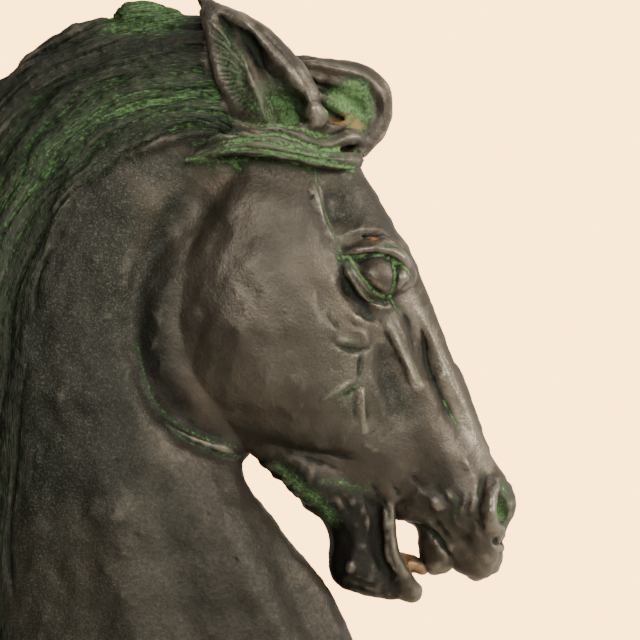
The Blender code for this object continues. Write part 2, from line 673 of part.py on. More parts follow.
def main_piece(grain):
    """The whole casting at a grain, before its base is cut flat."""
    muzzle = section_loft("muzzle", MUZZLE)
    masses = [section_loft("neck", NECK), section_loft("head", HEAD), muzzle, section_loft("jaw", JAW)]
    for side in (NEAR, FAR):
        cut_away(muzzle, tapered_lock("nostril", NOSTRIL, -side, NOSTRIL_FLATNESS))
        masses.append(tapered_lock("eye_bone", EYE_BONE, -side, 0.7))
        masses.append(tapered_lock("lip_roll", LIP_ROLL, -side))
    body = fuse("body", masses, grain)
    Clay(body).smooth(4)
    locks = mane(skin_tree(body))
    hair = [*locks, section_loft("forelock_roll", FORELOCK_ROLL)]
    for side in (NEAR, FAR):
        for path in FORELOCK:
            hair.append(tapered_lock("forelock", path, -side))
    mouth = [section_loft("gum", GUM), tapered_lock("tongue", TONGUE, 1, TONGUE_FLATNESS)]
    whole = fuse("horse_head", [body, *mouth, ear(NEAR), ear(FAR), *hair], grain)
    clay = Clay(whole)
    clay.smooth(2)
    carve_mane(clay)
    comb_forelock(clay)
    model_strokes(clay)
    model_ears(clay)
    throat_hollow(clay)
    eyes(clay)
    clay.smooth(1)
    return whole


def keep_largest(obj):
    """Drops small shells that the remesh may leave inside."""
    shell = bmesh.new()
    shell.from_mesh(obj.data)
    shell.verts.ensure_lookup_table()
    seen = set()
    groups = []
    for start in shell.verts:
        if start.index in seen:
            continue
        seen.add(start.index)
        group, front = [start], [start]
        while front:
            vertex = front.pop()
            for edge in vertex.link_edges:
                other = edge.other_vert(vertex)
                if other.index not in seen:
                    seen.add(other.index)
                    group.append(other)
                    front.append(other)
        groups.append(group)
    groups.sort(key=len)
    for group in groups[:-1]:
        bmesh.ops.delete(shell, geom=group, context="VERTS")
    shell.to_mesh(obj.data)
    shell.free()


def cut_flat(obj, level):
    """Cuts the casting flat at a level and closes the cut."""
    shell = bmesh.new()
    shell.from_mesh(obj.data)
    everything = [*shell.verts, *shell.edges, *shell.faces]
    foot, down = (0, 0, level * UNIT), (0, 0, -1)
    cut = bmesh.ops.bisect_plane(shell, geom=everything, plane_co=foot, plane_no=down, clear_outer=True)
    rim = [e for e in cut["geom_cut"] if isinstance(e, bmesh.types.BMEdge)]
    bmesh.ops.holes_fill(shell, edges=rim, sides=0)
    shell.to_mesh(obj.data)
    shell.free()


def bronze():
    """Dark brown bronze."""
    material = bpy.data.materials.new("patinated_bronze")
    material.use_nodes = True
    shader = material.node_tree.nodes["Principled BSDF"]
    shader.inputs["Base Color"].default_value = (0.055, 0.046, 0.038, 1)
    shader.inputs["Metallic"].default_value = 0.55
    shader.inputs["Roughness"].default_value = 0.5
    return material


def main():
    for obj in list(bpy.data.objects):
        bpy.data.objects.remove(obj)
    casting = main_piece(GRAIN)
    keep_largest(casting)
    cut_flat(casting, -SPARE_FOOT)
    count = sum(len(p.vertices) - 2 for p in casting.data.polygons)
    thin = casting.modifiers.new("Fewer facets", "DECIMATE")
    thin.ratio = FACET_COUNT / count
    bpy.ops.object.modifier_apply(modifier=thin.name)
    cut_flat(casting, 0)
    casting.data.materials.clear()
    casting.data.materials.append(bronze())
    home = bpy.data.collections.new("horse head sculpture")
    bpy.context.scene.collection.children.link(home)
    for collection in list(casting.users_collection):
        collection.objects.unlink(casting)
    home.objects.link(casting)


main()
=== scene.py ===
# Patinated bronze horse head: the fine carved casting, its patina, and a plain studio round it.
import math
import bmesh
import bpy
import numpy as np
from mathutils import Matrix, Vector
from mathutils.bvhtree import BVHTree
from mathutils.kdtree import KDTree


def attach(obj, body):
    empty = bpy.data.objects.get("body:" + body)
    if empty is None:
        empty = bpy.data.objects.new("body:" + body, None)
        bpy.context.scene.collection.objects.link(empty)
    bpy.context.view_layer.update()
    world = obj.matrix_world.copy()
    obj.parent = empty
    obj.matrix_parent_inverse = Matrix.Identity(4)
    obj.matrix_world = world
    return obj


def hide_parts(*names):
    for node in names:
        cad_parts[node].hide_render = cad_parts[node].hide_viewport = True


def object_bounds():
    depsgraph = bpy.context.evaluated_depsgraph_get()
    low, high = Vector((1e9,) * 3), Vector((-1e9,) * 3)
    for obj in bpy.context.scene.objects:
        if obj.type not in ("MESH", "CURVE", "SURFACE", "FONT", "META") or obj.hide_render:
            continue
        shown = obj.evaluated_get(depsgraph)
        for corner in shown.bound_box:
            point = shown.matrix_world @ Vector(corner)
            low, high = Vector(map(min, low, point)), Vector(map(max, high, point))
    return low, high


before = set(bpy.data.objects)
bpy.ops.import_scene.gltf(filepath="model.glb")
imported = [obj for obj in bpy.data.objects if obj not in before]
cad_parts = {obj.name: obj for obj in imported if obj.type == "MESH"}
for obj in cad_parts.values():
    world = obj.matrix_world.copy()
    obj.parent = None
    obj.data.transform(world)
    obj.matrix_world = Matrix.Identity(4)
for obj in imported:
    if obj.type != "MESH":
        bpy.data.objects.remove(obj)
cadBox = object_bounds()
bpy.ops.object.select_all(action="DESELECT")
print("frame loaded")

# Shape of the horse, in clay units of the side view: (x, z), x forward and z up. A unit is 0.6 mm.
horse = {
    "headLength": 0.300,      # metres, poll to lips
    "grain": 1.9,             # clay units, how finely the clay is divided
    "quickGrain": 3.0,
    "triangles": 192000,
    "spareBase": 4,           # clay units kept below the level cut while the clay is thinned
    "fineRounds": 4,          # rounds of smoothing that find the fine hollows, and the broad ones
    "broadRounds": 40,
    # Sections of the neck: throat point, crest point, half widths at levels, roundness
    "neck": (
        ((150, 600), (92, 700), (44, 46, 44, 42, 38), 0.6),
        ((120, 520), (44, 708), (56, 56, 53, 49, 42), 0.6),
        ((105, 420), (-16, 698), (60, 60, 58, 54, 42), 0.6),
        ((101, 338), (-74, 678), (60, 62, 64, 58, 42), 0.6),
        ((101, 284), (-132, 638), (60, 64, 70, 64, 44), 0.6),
        ((105, 260), (-186, 562), (62, 70, 77, 71, 47), 0.6),
        ((124, 232), (-218, 480), (68, 80, 85, 76, 46), 0.6),
        ((158, 190), (-236, 392), (76, 88, 91, 82, 50), 0.6),
        ((190, 147), (-243, 300), (82, 95, 97, 88, 54), 0.6),
        ((212, 103), (-247, 200), (88, 101, 103, 94, 58), 0.6),
        ((233, 52), (-249, 98), (92, 106, 108, 99, 62), 0.6),
        ((250, 0), (-251, 0), (96, 110, 112, 103, 66), 0.6),
        ((272, -48), (-252, -60), (98, 112, 114, 105, 68), 0.6),
    ),
    # Sections of the head, poll to mid face: forehead or nose point, rear or jaw point, half widths, roundness
    "head": (
        ((182, 652), (104, 606), (28, 36, 38, 34, 26), 0.8),
        ((202, 610), (54, 572), (50, 60, 60, 56, 48), 0.6),
        ((219, 572), (20, 520), (62, 70, 70, 68, 60), 0.5),
        ((244, 527), (4, 468), (70, 76, 76, 77, 68), 0.45),
        ((268, 489), (-2, 424), (66, 76, 81, 82, 72), 0.45),
        ((291, 440), (8, 376), (48, 70, 80, 82, 70), 0.45),
        ((308, 400), (40, 334), (37, 59, 73, 76, 62), 0.45),
        ((327, 357), (90, 295), (34, 50, 60, 63, 48), 0.5),
        ((342, 322), (123, 264), (32, 43, 50, 49, 37), 0.55),
        ((353, 294), (160, 236), (33, 43, 44, 40, 30), 0.6),
        ((358, 274), (198, 222), (28, 36, 36, 30, 20), 0.7),
    ),
    # Sections of the nose and upper lip: nose point, palate or lip point, half widths, roundness
    "muzzle": (
        ((321, 375), (190, 330), (30, 42, 48, 44, 36), 0.6),
        ((344, 316), (222, 262), (30, 42, 46, 42, 32), 0.6),
        ((357, 282), (250, 222), (34, 46, 46, 44, 30), 0.6),
        ((367, 265), (266, 218), (40, 52, 48, 42, 28), 0.6),
        ((375, 249), (282, 206), (42, 56, 50, 41, 28), 0.55),
        ((378, 231), (296, 191), (40, 54, 48, 40, 28), 0.55),
        ((371, 206), (309, 177), (32, 44, 43, 38, 28), 0.6),
        ((367, 184), (322, 166), (26, 36, 38, 35, 26), 0.6),
        ((359, 166), (334, 156), (17, 23, 26, 23, 18), 0.7),
        ((352, 158), (339, 154), (7, 9, 10, 9, 6), 0.9),
    ),
    # Sections of the lower jaw and lip: mouth point, underside point, half widths, roundness
    "jaw": (
        ((205, 302), (110, 279), (30, 40, 44, 44, 36), 0.6),
        ((232, 262), (129, 258), (28, 38, 42, 42, 34), 0.6),
        ((248, 230), (155, 237), (28, 36, 38, 35, 28), 0.5),
        ((250, 209), (181, 221), (28, 33, 33, 31, 25), 0.5),
        ((252, 194), (190, 201), (26, 31, 30, 30, 25), 0.5),
        ((255, 182), (189, 180), (25, 30, 29, 31, 26), 0.5),
        ((260, 170), (193, 158), (22, 28, 30, 32, 26), 0.5),
        ((266, 158), (212, 147), (18, 25, 28, 29, 22), 0.6),
        ((268, 146), (242, 139), (12, 18, 21, 20, 16), 0.8),
    ),
    # Gum and teeth under the upper lip in sections, and the tongue as rows of (x, y, z, radius)
    "gum": (
        ((300, 232), (278, 222), (20, 22, 22, 21, 18), 0.6),
        ((308, 220), (280, 204), (20, 23, 23, 22, 18), 0.6),
        ((316, 206), (282, 186), (20, 23, 23, 22, 18), 0.6),
        ((322, 192), (288, 170), (18, 21, 21, 20, 16), 0.6),
        ((322, 180), (298, 163), (12, 15, 15, 14, 10), 0.8),
    ),
    "tongue": ((236, 0, 196, 6), (248, 0, 185, 7), (260, 0, 179, 8), (272, 0, 175, 7.5), (281, 0, 170, 5.5),
               (287, 0, 166, 3)),
    "tongueFlatness": 2.6,
    # Masses on each side: the bone round the eye, and the nostril's hollow, as rows of (x, y, z, radius)
    "eyeBone": ((180, -56, 474, 10), (202, -63, 472, 23), (226, -65, 468, 28), (248, -58, 463, 21),
                (264, -48, 456, 9)),
    "nostril": ((369, -76, 232, 26), (363, -56, 232, 25), (356, -41, 231, 19), (345, -27, 229, 11),
                (334, -16, 225, 5)),
    "nostrilFlatness": 0.72,
    "lipRoll": ((246, -26, 246, 6), (242, -29, 228, 10), (243, -29, 205, 11), (247, -27, 184, 11),
                (256, -22, 167, 11), (267, -14, 149, 11.5), (270, -4, 145, 11)),
    "eyeFront": (222, 87, 463),  # the ball's outermost point
    "eyeRadius": 24,
    "cornerFront": (246, 81, 459),  # the same for the flesh in the eye's front corner
    "cornerRadius": 14,
    # Ear sections, base to tip: front rim, rear rim, half thickness at levels, roundness, place sideways
    "ear": (
        ((176, 596), (92, 590), (20, 24, 24, 20, 12), 0.7, 44),
        ((174, 618), (82, 616), (20, 24, 23, 18, 10), 0.7, 52),
        ((166, 640), (73, 636), (17, 21, 20, 16, 8), 0.7, 55),
        ((154, 663), (66, 658), (14, 18, 17, 13, 7), 0.7, 55),
        ((136, 687), (60, 680), (11, 14, 13, 10, 6), 0.7, 52),
        ((110, 706), (56, 702), (9, 10, 9, 8, 5), 0.7, 47),
        ((82, 721), (52, 720), (6, 7, 7, 6, 4), 0.8, 42),
        ((66, 733), (51, 733), (4, 5, 5, 4, 3), 0.9, 38),
    ),
    "earHollow": (
        ((160, 612), (126, 606), (12, 20, 22, 16, 8), 0.8, 70),
        ((158, 630), (109, 623), (14, 22, 22, 13, 4), 0.8, 74),
        ((146, 648), (98, 642), (13, 20, 19, 11, 3), 0.8, 75),
        ((128, 665), (90, 661), (11, 16, 14, 8, 2), 0.8, 72),
        ((112, 682), (82, 679), (8, 12, 10, 6, 2), 0.8, 66),
        ((93, 699), (73, 698), (5, 7, 6, 4, 1), 0.8, 57),
        ((76, 714), (65, 713), (2, 3, 3, 2, 1), 0.9, 50),
    ),
    "earInside": 40,  # how far from the middle the ears' hollows begin
    "farEarTurn": 5.5,  # degrees that the far ear leans further forward
    "earFoot": (130, 600),
    # The forelock: a roll of hair over the forehead, in sections from its outer line to the middle of the roll
    "forelockRoll": (
        ((88, 700), (96, 650), (24, 34, 36, 34, 28), 0.7),
        ((120, 690), (122, 636), (32, 38, 38, 36, 30), 0.6),
        ((152, 680), (150, 622), (36, 40, 40, 36, 30), 0.5),
        ((182, 675), (172, 610), (34, 39, 39, 36, 30), 0.5),
        ((211, 671), (188, 600), (34, 40, 40, 38, 32), 0.5),
        ((232, 656), (190, 594), (34, 40, 42, 40, 34), 0.5),
        ((244, 636), (188, 588), (34, 42, 44, 42, 36), 0.5),
        ((247, 618), (184, 582), (34, 42, 46, 44, 38), 0.5),
        ((236, 601), (180, 574), (32, 40, 46, 46, 40), 0.5),
        ((221, 581), (180, 562), (24, 32, 38, 38, 32), 0.7),
    ),
    # locks of the forelock: points (x, y, z) with y from the middle outwards, then the radius at each point
    "forelockLocks": (
        # over the forehead
        ((122, -18, 680, 7), (150, -30, 669, 12), (181, -37, 662, 14), (210, -39, 656, 15),
         (225, -39, 647, 14), (233, -38, 635, 12), (235, -37, 622, 11), (230, -38, 607, 10),
         (220, -40, 594, 9), (210, -44, 582, 7)),
        # inside that loop
        ((176, -36, 652, 3), (200, -40, 645, 7), (217, -42, 638, 8), (223, -42, 625, 8),
         (221, -42, 611, 7), (214, -42, 600, 4)),
        # rope under the ear
        ((68, -66, 612, 2), (84, -70, 607, 5), (102, -72, 600, 6.5), (120, -72, 602, 7),
         (138, -71, 598, 7), (156, -68, 591, 7), (174, -63, 588, 7.5), (192, -57, 596, 8),
         (206, -51, 599, 8), (216, -42, 593, 6)),
        # lowest, below the rope
        ((36, -66, 571, 2), (52, -71, 577, 5), (80, -75, 584, 8), (108, -77, 585, 9), (136, -77, 580, 9),
         (164, -74, 575, 9), (192, -66, 574, 9), (210, -50, 576, 8)),
        # on its upper edge
        ((50, -70, 581, 2), (68, -73, 592, 6), (90, -75, 595, 7), (112, -75, 593, 7), (136, -75, 587, 7),
         (160, -70, 580, 6)),
        # short, between the rope and the loop
        ((150, -52, 612, 5), (172, -52, 606, 8), (190, -48, 606, 8), (206, -42, 611, 7),
         (216, -40, 616, 4)),
        # across the loop
        ((168, -42, 640, 5), (190, -42, 630, 8), (212, -42, 616, 6)),
    ),
    # The line of the crest, along which the mane's locks are laid
    "crest": ((150, 684), (109, 708), (59, 714), (10, 711), (-32, 703), (-78, 686), (-116, 662), (-155, 627),
              (-186, 583), (-211, 530), (-228, 470), (-239, 405), (-245, 324), (-249, 228), (-251, 132),
              (-252, 40), (-252, -60)),
    # Locks on each side of the mane: start and end along the crest, inset at start, middle and end, thickness
    "maneLocks": (
        (0.00, 0.31, 8, 8, -2, 17),
        (0.02, 0.46, 26, 28, 20, 18),
        (0.03, 0.39, 46, 52, 58, 17),
        (0.04, 0.53, 66, 74, 64, 17),
        (0.05, 0.35, 88, 97, 108, 15),
        (0.06, 0.43, 108, 121, 124, 12),
        (0.22, 0.67, 6, 2, -4, 18),
        (0.26, 0.78, 40, 30, 20, 17),
        (0.31, 0.68, 92, 84, 92, 16),
        (0.33, 0.88, 62, 52, 46, 17),
        (0.48, 1.04, 10, 4, 2, 18),
        (0.56, 1.04, 36, 28, 28, 15),
        (0.61, 1.04, 70, 66, 70, 13),
    ),
    # Where the forelock's roll is combed: the middle it turns about, its back and its foot
    "rollMiddle": (150, 620),
    "rollBack": 120,
    "rollFoot": 566,
    "topLock": ((62, -4, 702, 8), (40, -6, 711, 12), (14, -8, 718, 13), (-8, -10, 719, 13), (-22, -12, 712, 9)),
}
unit = horse["headLength"] / 500
levels = (0.1, 0.3, 0.5, 0.7, 0.9)  # shares of a section where its half widths are given
near, far = -1, 1  # right side, left side
noLimit = 1e6


def smoothCurve(points, steps):
    # Catmull-Rom curve through rows of numbers, with so many steps from each row to the next.
    rows = np.array(points, float)
    ends = np.vstack([2 * rows[0] - rows[1], rows, 2 * rows[-1] - rows[-2]])
    made = []
    for i in range(1, len(ends) - 2):
        a, b, c, d = ends[i - 1], ends[i], ends[i + 1], ends[i + 2]
        for t in np.arange(steps) / steps:
            made.append(b + 0.5 * t * (c - a + t * (2 * a - 5 * b + 4 * c - d + t * (3 * (b - c) + d - a))))
    made.append(rows[-1])
    return np.array(made)


def readRows(items, name, width, kind=float):
    # So many numbers of each item of a mesh, in rows.
    flat = np.empty(len(items) * width, kind)
    items.foreach_get(name, flat)
    return flat.reshape(-1, width)


def applyModifier(obj, kind, settings):
    # Changes the object by one modifier.
    modifier = obj.modifiers.new(kind, kind)
    for name, value in settings.items():
        setattr(modifier, name, value)
    bpy.context.view_layer.objects.active = obj
    bpy.ops.object.modifier_apply(modifier=modifier.name)


def newObject(name, points, faces):
    # A mesh object from points in clay units.
    mesh = bpy.data.meshes.new(name)
    mesh.from_pydata([tuple(p) for p in np.asarray(points) * unit], [], faces)
    obj = bpy.data.objects.new(name, mesh)
    bpy.context.scene.collection.objects.link(obj)
    shell = bmesh.new()
    shell.from_mesh(mesh)
    bmesh.ops.recalc_face_normals(shell, faces=shell.faces)
    shell.to_mesh(mesh)
    shell.free()
    return obj


def ringFaces(rows, columns):
    # Quads between closed rings, with a fan to a last point at each end.
    first, last = rows * columns, rows * columns + 1
    faces = []
    for c in range(columns):
        n = (c + 1) % columns
        faces.append((first, n, c))
        faces.append((last, (rows - 1) * columns + c, (rows - 1) * columns + n))
        for r in range(rows - 1):
            faces.append((r * columns + c, r * columns + n, (r + 1) * columns + n, (r + 1) * columns + c))
    return faces


def sectionLoft(name, sections, side=1, steps=4, halfRing=16):
    # A loft through flat sections. Each lies across the side view, from a front point to a back point.
    rows = []
    for section in sections:
        middle = section[4] if len(section) > 4 else 0
        rows.append([*section[0], *section[1], *section[2], section[3], middle])
    rows = smoothCurve(rows, steps)
    angle = np.linspace(0, np.pi, halfRing + 1)
    share = (1 - np.cos(angle)) / 2
    points = []
    for row in rows:
        front, back, widths, roundness, middle = row[0:2], row[2:4], row[4:9], row[9], row[10]
        spread = smoothCurve([*zip((0.0, *levels, 1.0), (widths[0], *widths, widths[-1]))], 6)
        half = np.interp(share, spread[:, 0], spread[:, 1]) * np.sin(angle) ** roundness
        line = front + np.outer(share, back - front)
        right = np.column_stack([line[:, 0], side * (middle + half), line[:, 1]])
        left = np.column_stack([line[:, 0], side * (middle - half), line[:, 1]])
        points.append(np.vstack([right, left[-2:0:-1]]))
    ends = [points[0].mean(axis=0), points[-1].mean(axis=0)]
    return newObject(name, np.vstack([*points, ends]), ringFaces(len(points), 2 * halfRing))


def taperedLock(name, path, side=1, flatness=1.0, sides=12, steps=5, strands=0):
    # A lock of hair: round sections along a curve of (x, y, z, radius) rows, flattened sideways.
    # Strands are ridges that wind slowly round it.
    if strands:
        sides, steps = 8 * strands, 12
    rows = smoothCurve(path, steps)
    rows[:, 3] = np.maximum(rows[:, 3], 0.5)
    centres = rows[:, :3]
    ahead = np.gradient(centres, axis=0)
    ahead /= np.linalg.norm(ahead, axis=1)[:, None]
    sideways = np.array([0.0, 1.0, 0.0])
    upward = np.cross(ahead, sideways)
    upward /= np.linalg.norm(upward, axis=1)[:, None]
    outward = np.cross(upward, ahead)
    turns = np.arange(sides) * 2 * np.pi / sides
    points = []
    for step, (centre, up, out, radius) in enumerate(zip(centres, upward, outward, rows[:, 3])):
        ridge = 1 + 0.13 * np.cos(strands * turns + 0.045 * step) if strands else np.ones(sides)
        across = np.outer(ridge * np.cos(turns), up) + flatness * np.outer(ridge * np.sin(turns), out)
        points.append(centre + radius * across)
    points = np.vstack([*points, centres[:1], centres[-1:]])
    points[:, 1] *= side
    return newObject(name, points, ringFaces(len(centres), sides))


def fuse(name, objects, grain):
    # Joins closed shapes and remakes them as one skin, as clay pressed together.
    bpy.ops.object.select_all(action="DESELECT")
    for obj in objects:
        obj.select_set(True)
    bpy.context.view_layer.objects.active = objects[0]
    bpy.ops.object.join()
    fused = bpy.context.view_layer.objects.active
    fused.name = name
    fused.data.name = name
    applyModifier(fused, "REMESH", {"mode": "VOXEL", "voxel_size": grain})
    return fused


def cutAway(obj, cutter):
    # Takes the cutter's shape out of the object, and removes the cutter.
    applyModifier(obj, "BOOLEAN", {"operation": "DIFFERENCE", "object": cutter})
    bpy.data.objects.remove(cutter)


class Clay:
    # The points of a mesh in clay units, with their normals and neighbours, for modelling strokes.

    def __init__(self, obj):
        self.obj = obj
        self.points = readRows(obj.data.vertices, "co", 3) / unit
        self.pairs = readRows(obj.data.edges, "vertices", 2, int)
        self.neighbours = np.bincount(self.pairs.ravel(), minlength=len(self.points)).clip(1)
        self.settle()

    def settle(self):
        # Writes the points to the mesh and reads the new normals.
        mesh = self.obj.data
        mesh.vertices.foreach_set("co", (self.points * unit).astype(np.float32).ravel())
        mesh.update()
        self.normals = readRows(mesh.vertex_normals, "vector", 3)

    def smooth(self, rounds, settle=True):
        # Moves each point towards its neighbours' middle.
        a, b = self.pairs[:, 0], self.pairs[:, 1]
        count = len(self.points)
        for _ in range(rounds):
            for axis in range(3):
                value = self.points[:, axis]
                total = np.bincount(a, value[b], count) + np.bincount(b, value[a], count)
                value += 0.5 * (total / self.neighbours - value)
        if settle:
            self.settle()

    def knob(self, centre, radius, push):
        # Pushes the points near (x, y, z) out, on both sides.
        place = self.points.copy()
        place[:, 1] = np.abs(place[:, 1])
        gap = np.linalg.norm(place - centre, axis=1) / radius
        weight = np.where(gap < 1, (1 - np.clip(gap, 0, 1) ** 2) ** 2, 0)
        self.points += self.normals * (weight * push)[:, None]

    def sideways(self, facing):
        # How far each point's skin faces sideways, from 0 to 1.
        out = self.normals[:, 1] * np.sign(self.points[:, 1])
        return np.clip((out - facing) / 0.3, 0, 1)

    def stroke(self, path, width, depth, facing=0.05, fade=0.25, within=(0, noLimit), shape=2.0):
        # A ridge along a path of the side view, or a groove where depth is negative. It fades at both ends.
        curve = smoothCurve(path, 6)
        index, flat = nearCurve(self.points, curve, 2.2 * width, within)
        if not len(index):
            return
        gap, along, _ = pathDistance(flat, curve)
        ends = np.clip(np.minimum(along, 1 - along) / fade, 0, 1)
        weight = np.exp(-((gap / width) ** shape)) * ends * self.sideways(facing)[index]
        self.points[index] += self.normals[index] * (weight * depth)[:, None]

    def patch(self, outline, height, blend, within=(0, noLimit)):
        # Raises the area inside a closed outline of the side view, with a soft edge of that width.
        curve = smoothCurve([*outline, outline[0]], 6)
        index, flat = nearCurve(self.points, curve, blend, within)
        weight = insideShare(flat, curve, blend)
        weight = weight * weight * (3 - 2 * weight) * self.sideways(0.05)[index]
        self.points[index] += self.normals[index] * (weight * height)[:, None]

    def ball(self, centre, radius, outline):
        # Lays the skin inside an outline of the side view over a ball, on both sides.
        curve = smoothCurve([*outline, outline[0]], 6)
        flat = self.points[:, [0, 2]]
        held = inside(flat, curve) & (self.sideways(-0.3) > 0)
        index = np.nonzero(held)[0]
        across = np.linalg.norm(flat[index] - (centre[0], centre[2]), axis=1)
        out = centre[1] + np.sqrt(np.clip(radius**2 - across**2, 0, None)) - radius
        sign = np.sign(self.points[index, 1])
        self.points[index, 1] = sign * np.maximum(out, np.abs(self.points[index, 1]))


def nearCurve(points, curve, reach, within=(0, noLimit)):
    # Which points lie in a box round a curve of the side view, so far from the middle, and their places in it.
    flat = points[:, [0, 2]]
    box = (flat > curve.min(axis=0) - reach).all(axis=1) & (flat < curve.max(axis=0) + reach).all(axis=1)
    out = np.abs(points[:, 1])
    index = np.nonzero(box & (out >= within[0]) & (out <= within[1]))[0]
    return index, flat[index]


def pathDistance(points, curve):
    # How far each point is from a polyline, its place along it from 0 to 1, and how far it lies to its left.
    best = np.full(len(points), np.inf)
    place, left = np.zeros(len(points)), np.zeros(len(points))
    lengths = np.linalg.norm(np.diff(curve, axis=0), axis=1)
    starts = np.concatenate([[0], np.cumsum(lengths)])
    for a, b, start, length in zip(curve[:-1], curve[1:], starts, lengths):
        if length < 1e-9:
            continue
        share = np.clip((points - a) @ (b - a) / length**2, 0, 1)
        apart = points - a - np.outer(share, b - a)
        gap = np.linalg.norm(apart, axis=1)
        closer = gap < best
        best[closer] = gap[closer]
        place[closer] = ((start + share * length) / starts[-1])[closer]
        left[closer] = (((b - a)[0] * apart[:, 1] - (b - a)[1] * apart[:, 0]) / length)[closer]
    return best, place, left


def inside(points, curve):
    # Whether each point is inside a closed polyline.
    x, z = points[:, 0], points[:, 1]
    found = np.zeros(len(points), bool)
    for (x0, z0), (x1, z1) in zip(curve[:-1], curve[1:]):
        if z0 == z1:
            continue
        crosses = ((z0 > z) != (z1 > z)) & (x < x0 + (x1 - x0) * (z - z0) / (z1 - z0))
        found ^= crosses
    return found


def insideShare(points, curve, soft):
    # 1 inside a closed polyline and 0 outside, fading over its edge.
    gap = pathDistance(points, curve)[0]
    signed = np.where(inside(points, curve), gap, -gap)
    return np.clip(0.5 + signed / soft, 0, 1)


def skinTree(obj):
    # The object's surface, for finding where a ray meets it.
    mesh = obj.data
    return BVHTree.FromPolygons([v.co for v in mesh.vertices], [p.vertices for p in mesh.polygons])


def skinPlace(tree, x, z, side):
    # How far out the skin is at a point of the side view, in clay units, or None beside it.
    start = Vector((x * unit, side * horse["headLength"], z * unit))
    hit = tree.ray_cast(start, Vector((0, -side, 0)))[0]
    return None if hit is None else hit.y / unit


def ear(side):
    # One ear: a leaf with its hollow facing outwards. The far one leans further forward.
    leaf = sectionLoft("ear", horse["ear"], side)
    cutAway(leaf, sectionLoft("earHollow", horse["earHollow"], side))
    if side == far:
        turn = np.radians(horse["farEarTurn"])
        foot = Vector((horse["earFoot"][0] * unit, 0, horse["earFoot"][1] * unit))
        for vertex in leaf.data.vertices:
            x, z = vertex.co.x - foot.x, vertex.co.z - foot.z
            vertex.co.x = foot.x + x * np.cos(turn) + z * np.sin(turn)
            vertex.co.z = foot.z - x * np.sin(turn) + z * np.cos(turn)
    return leaf


def crestPlace(share, inset):
    # A point of the side view, along the crest by a share of its length and inwards from it.
    curve = smoothCurve(horse["crest"], 8)
    lengths = np.concatenate([[0], np.cumsum(np.linalg.norm(np.diff(curve, axis=0), axis=1))])
    at = share * lengths[-1]
    x, z = np.interp(at, lengths, curve[:, 0]), np.interp(at, lengths, curve[:, 1])
    dx = np.interp(at + 4, lengths, curve[:, 0]) - np.interp(at - 4, lengths, curve[:, 0])
    dz = np.interp(at + 4, lengths, curve[:, 1]) - np.interp(at - 4, lengths, curve[:, 1])
    size = max(np.hypot(dx, dz), 1e-6)
    return x - dz / size * inset, z + dx / size * inset


def mane(tree):
    # The mane's locks, laid on the skin on both sides of the crest.
    locks = []
    for number, (start, end, insetStart, insetMiddle, insetEnd, thickness) in enumerate(horse["maneLocks"]):
        for side in (near, far):
            slip = 0.02 * side * np.sin(2.1 * number)
            path = []
            for step in range(9):
                share = step / 8
                inset = np.interp(share, (0, 0.5, 1), (insetStart, insetMiddle, insetEnd))
                inset += 5 * np.sin(2.2 * np.pi * share + 1.3 * number)
                x, z = crestPlace(start + slip + share * (end - start), inset)
                radius = thickness * min(1.0, 0.35 + 2.6 * share, 0.06 + 2.4 * (1 - share))
                out = skinPlace(tree, x, z, side)
                if out is None:
                    out = side * 8
                path.append((x, out - side * 0.15 * radius, z, radius))
            locks.append(taperedLock("maneLock", path, 1, 0.75))
    for side in (near, far):
        locks.append(taperedLock("topLock", horse["topLock"], -side, strands=5))
    return locks


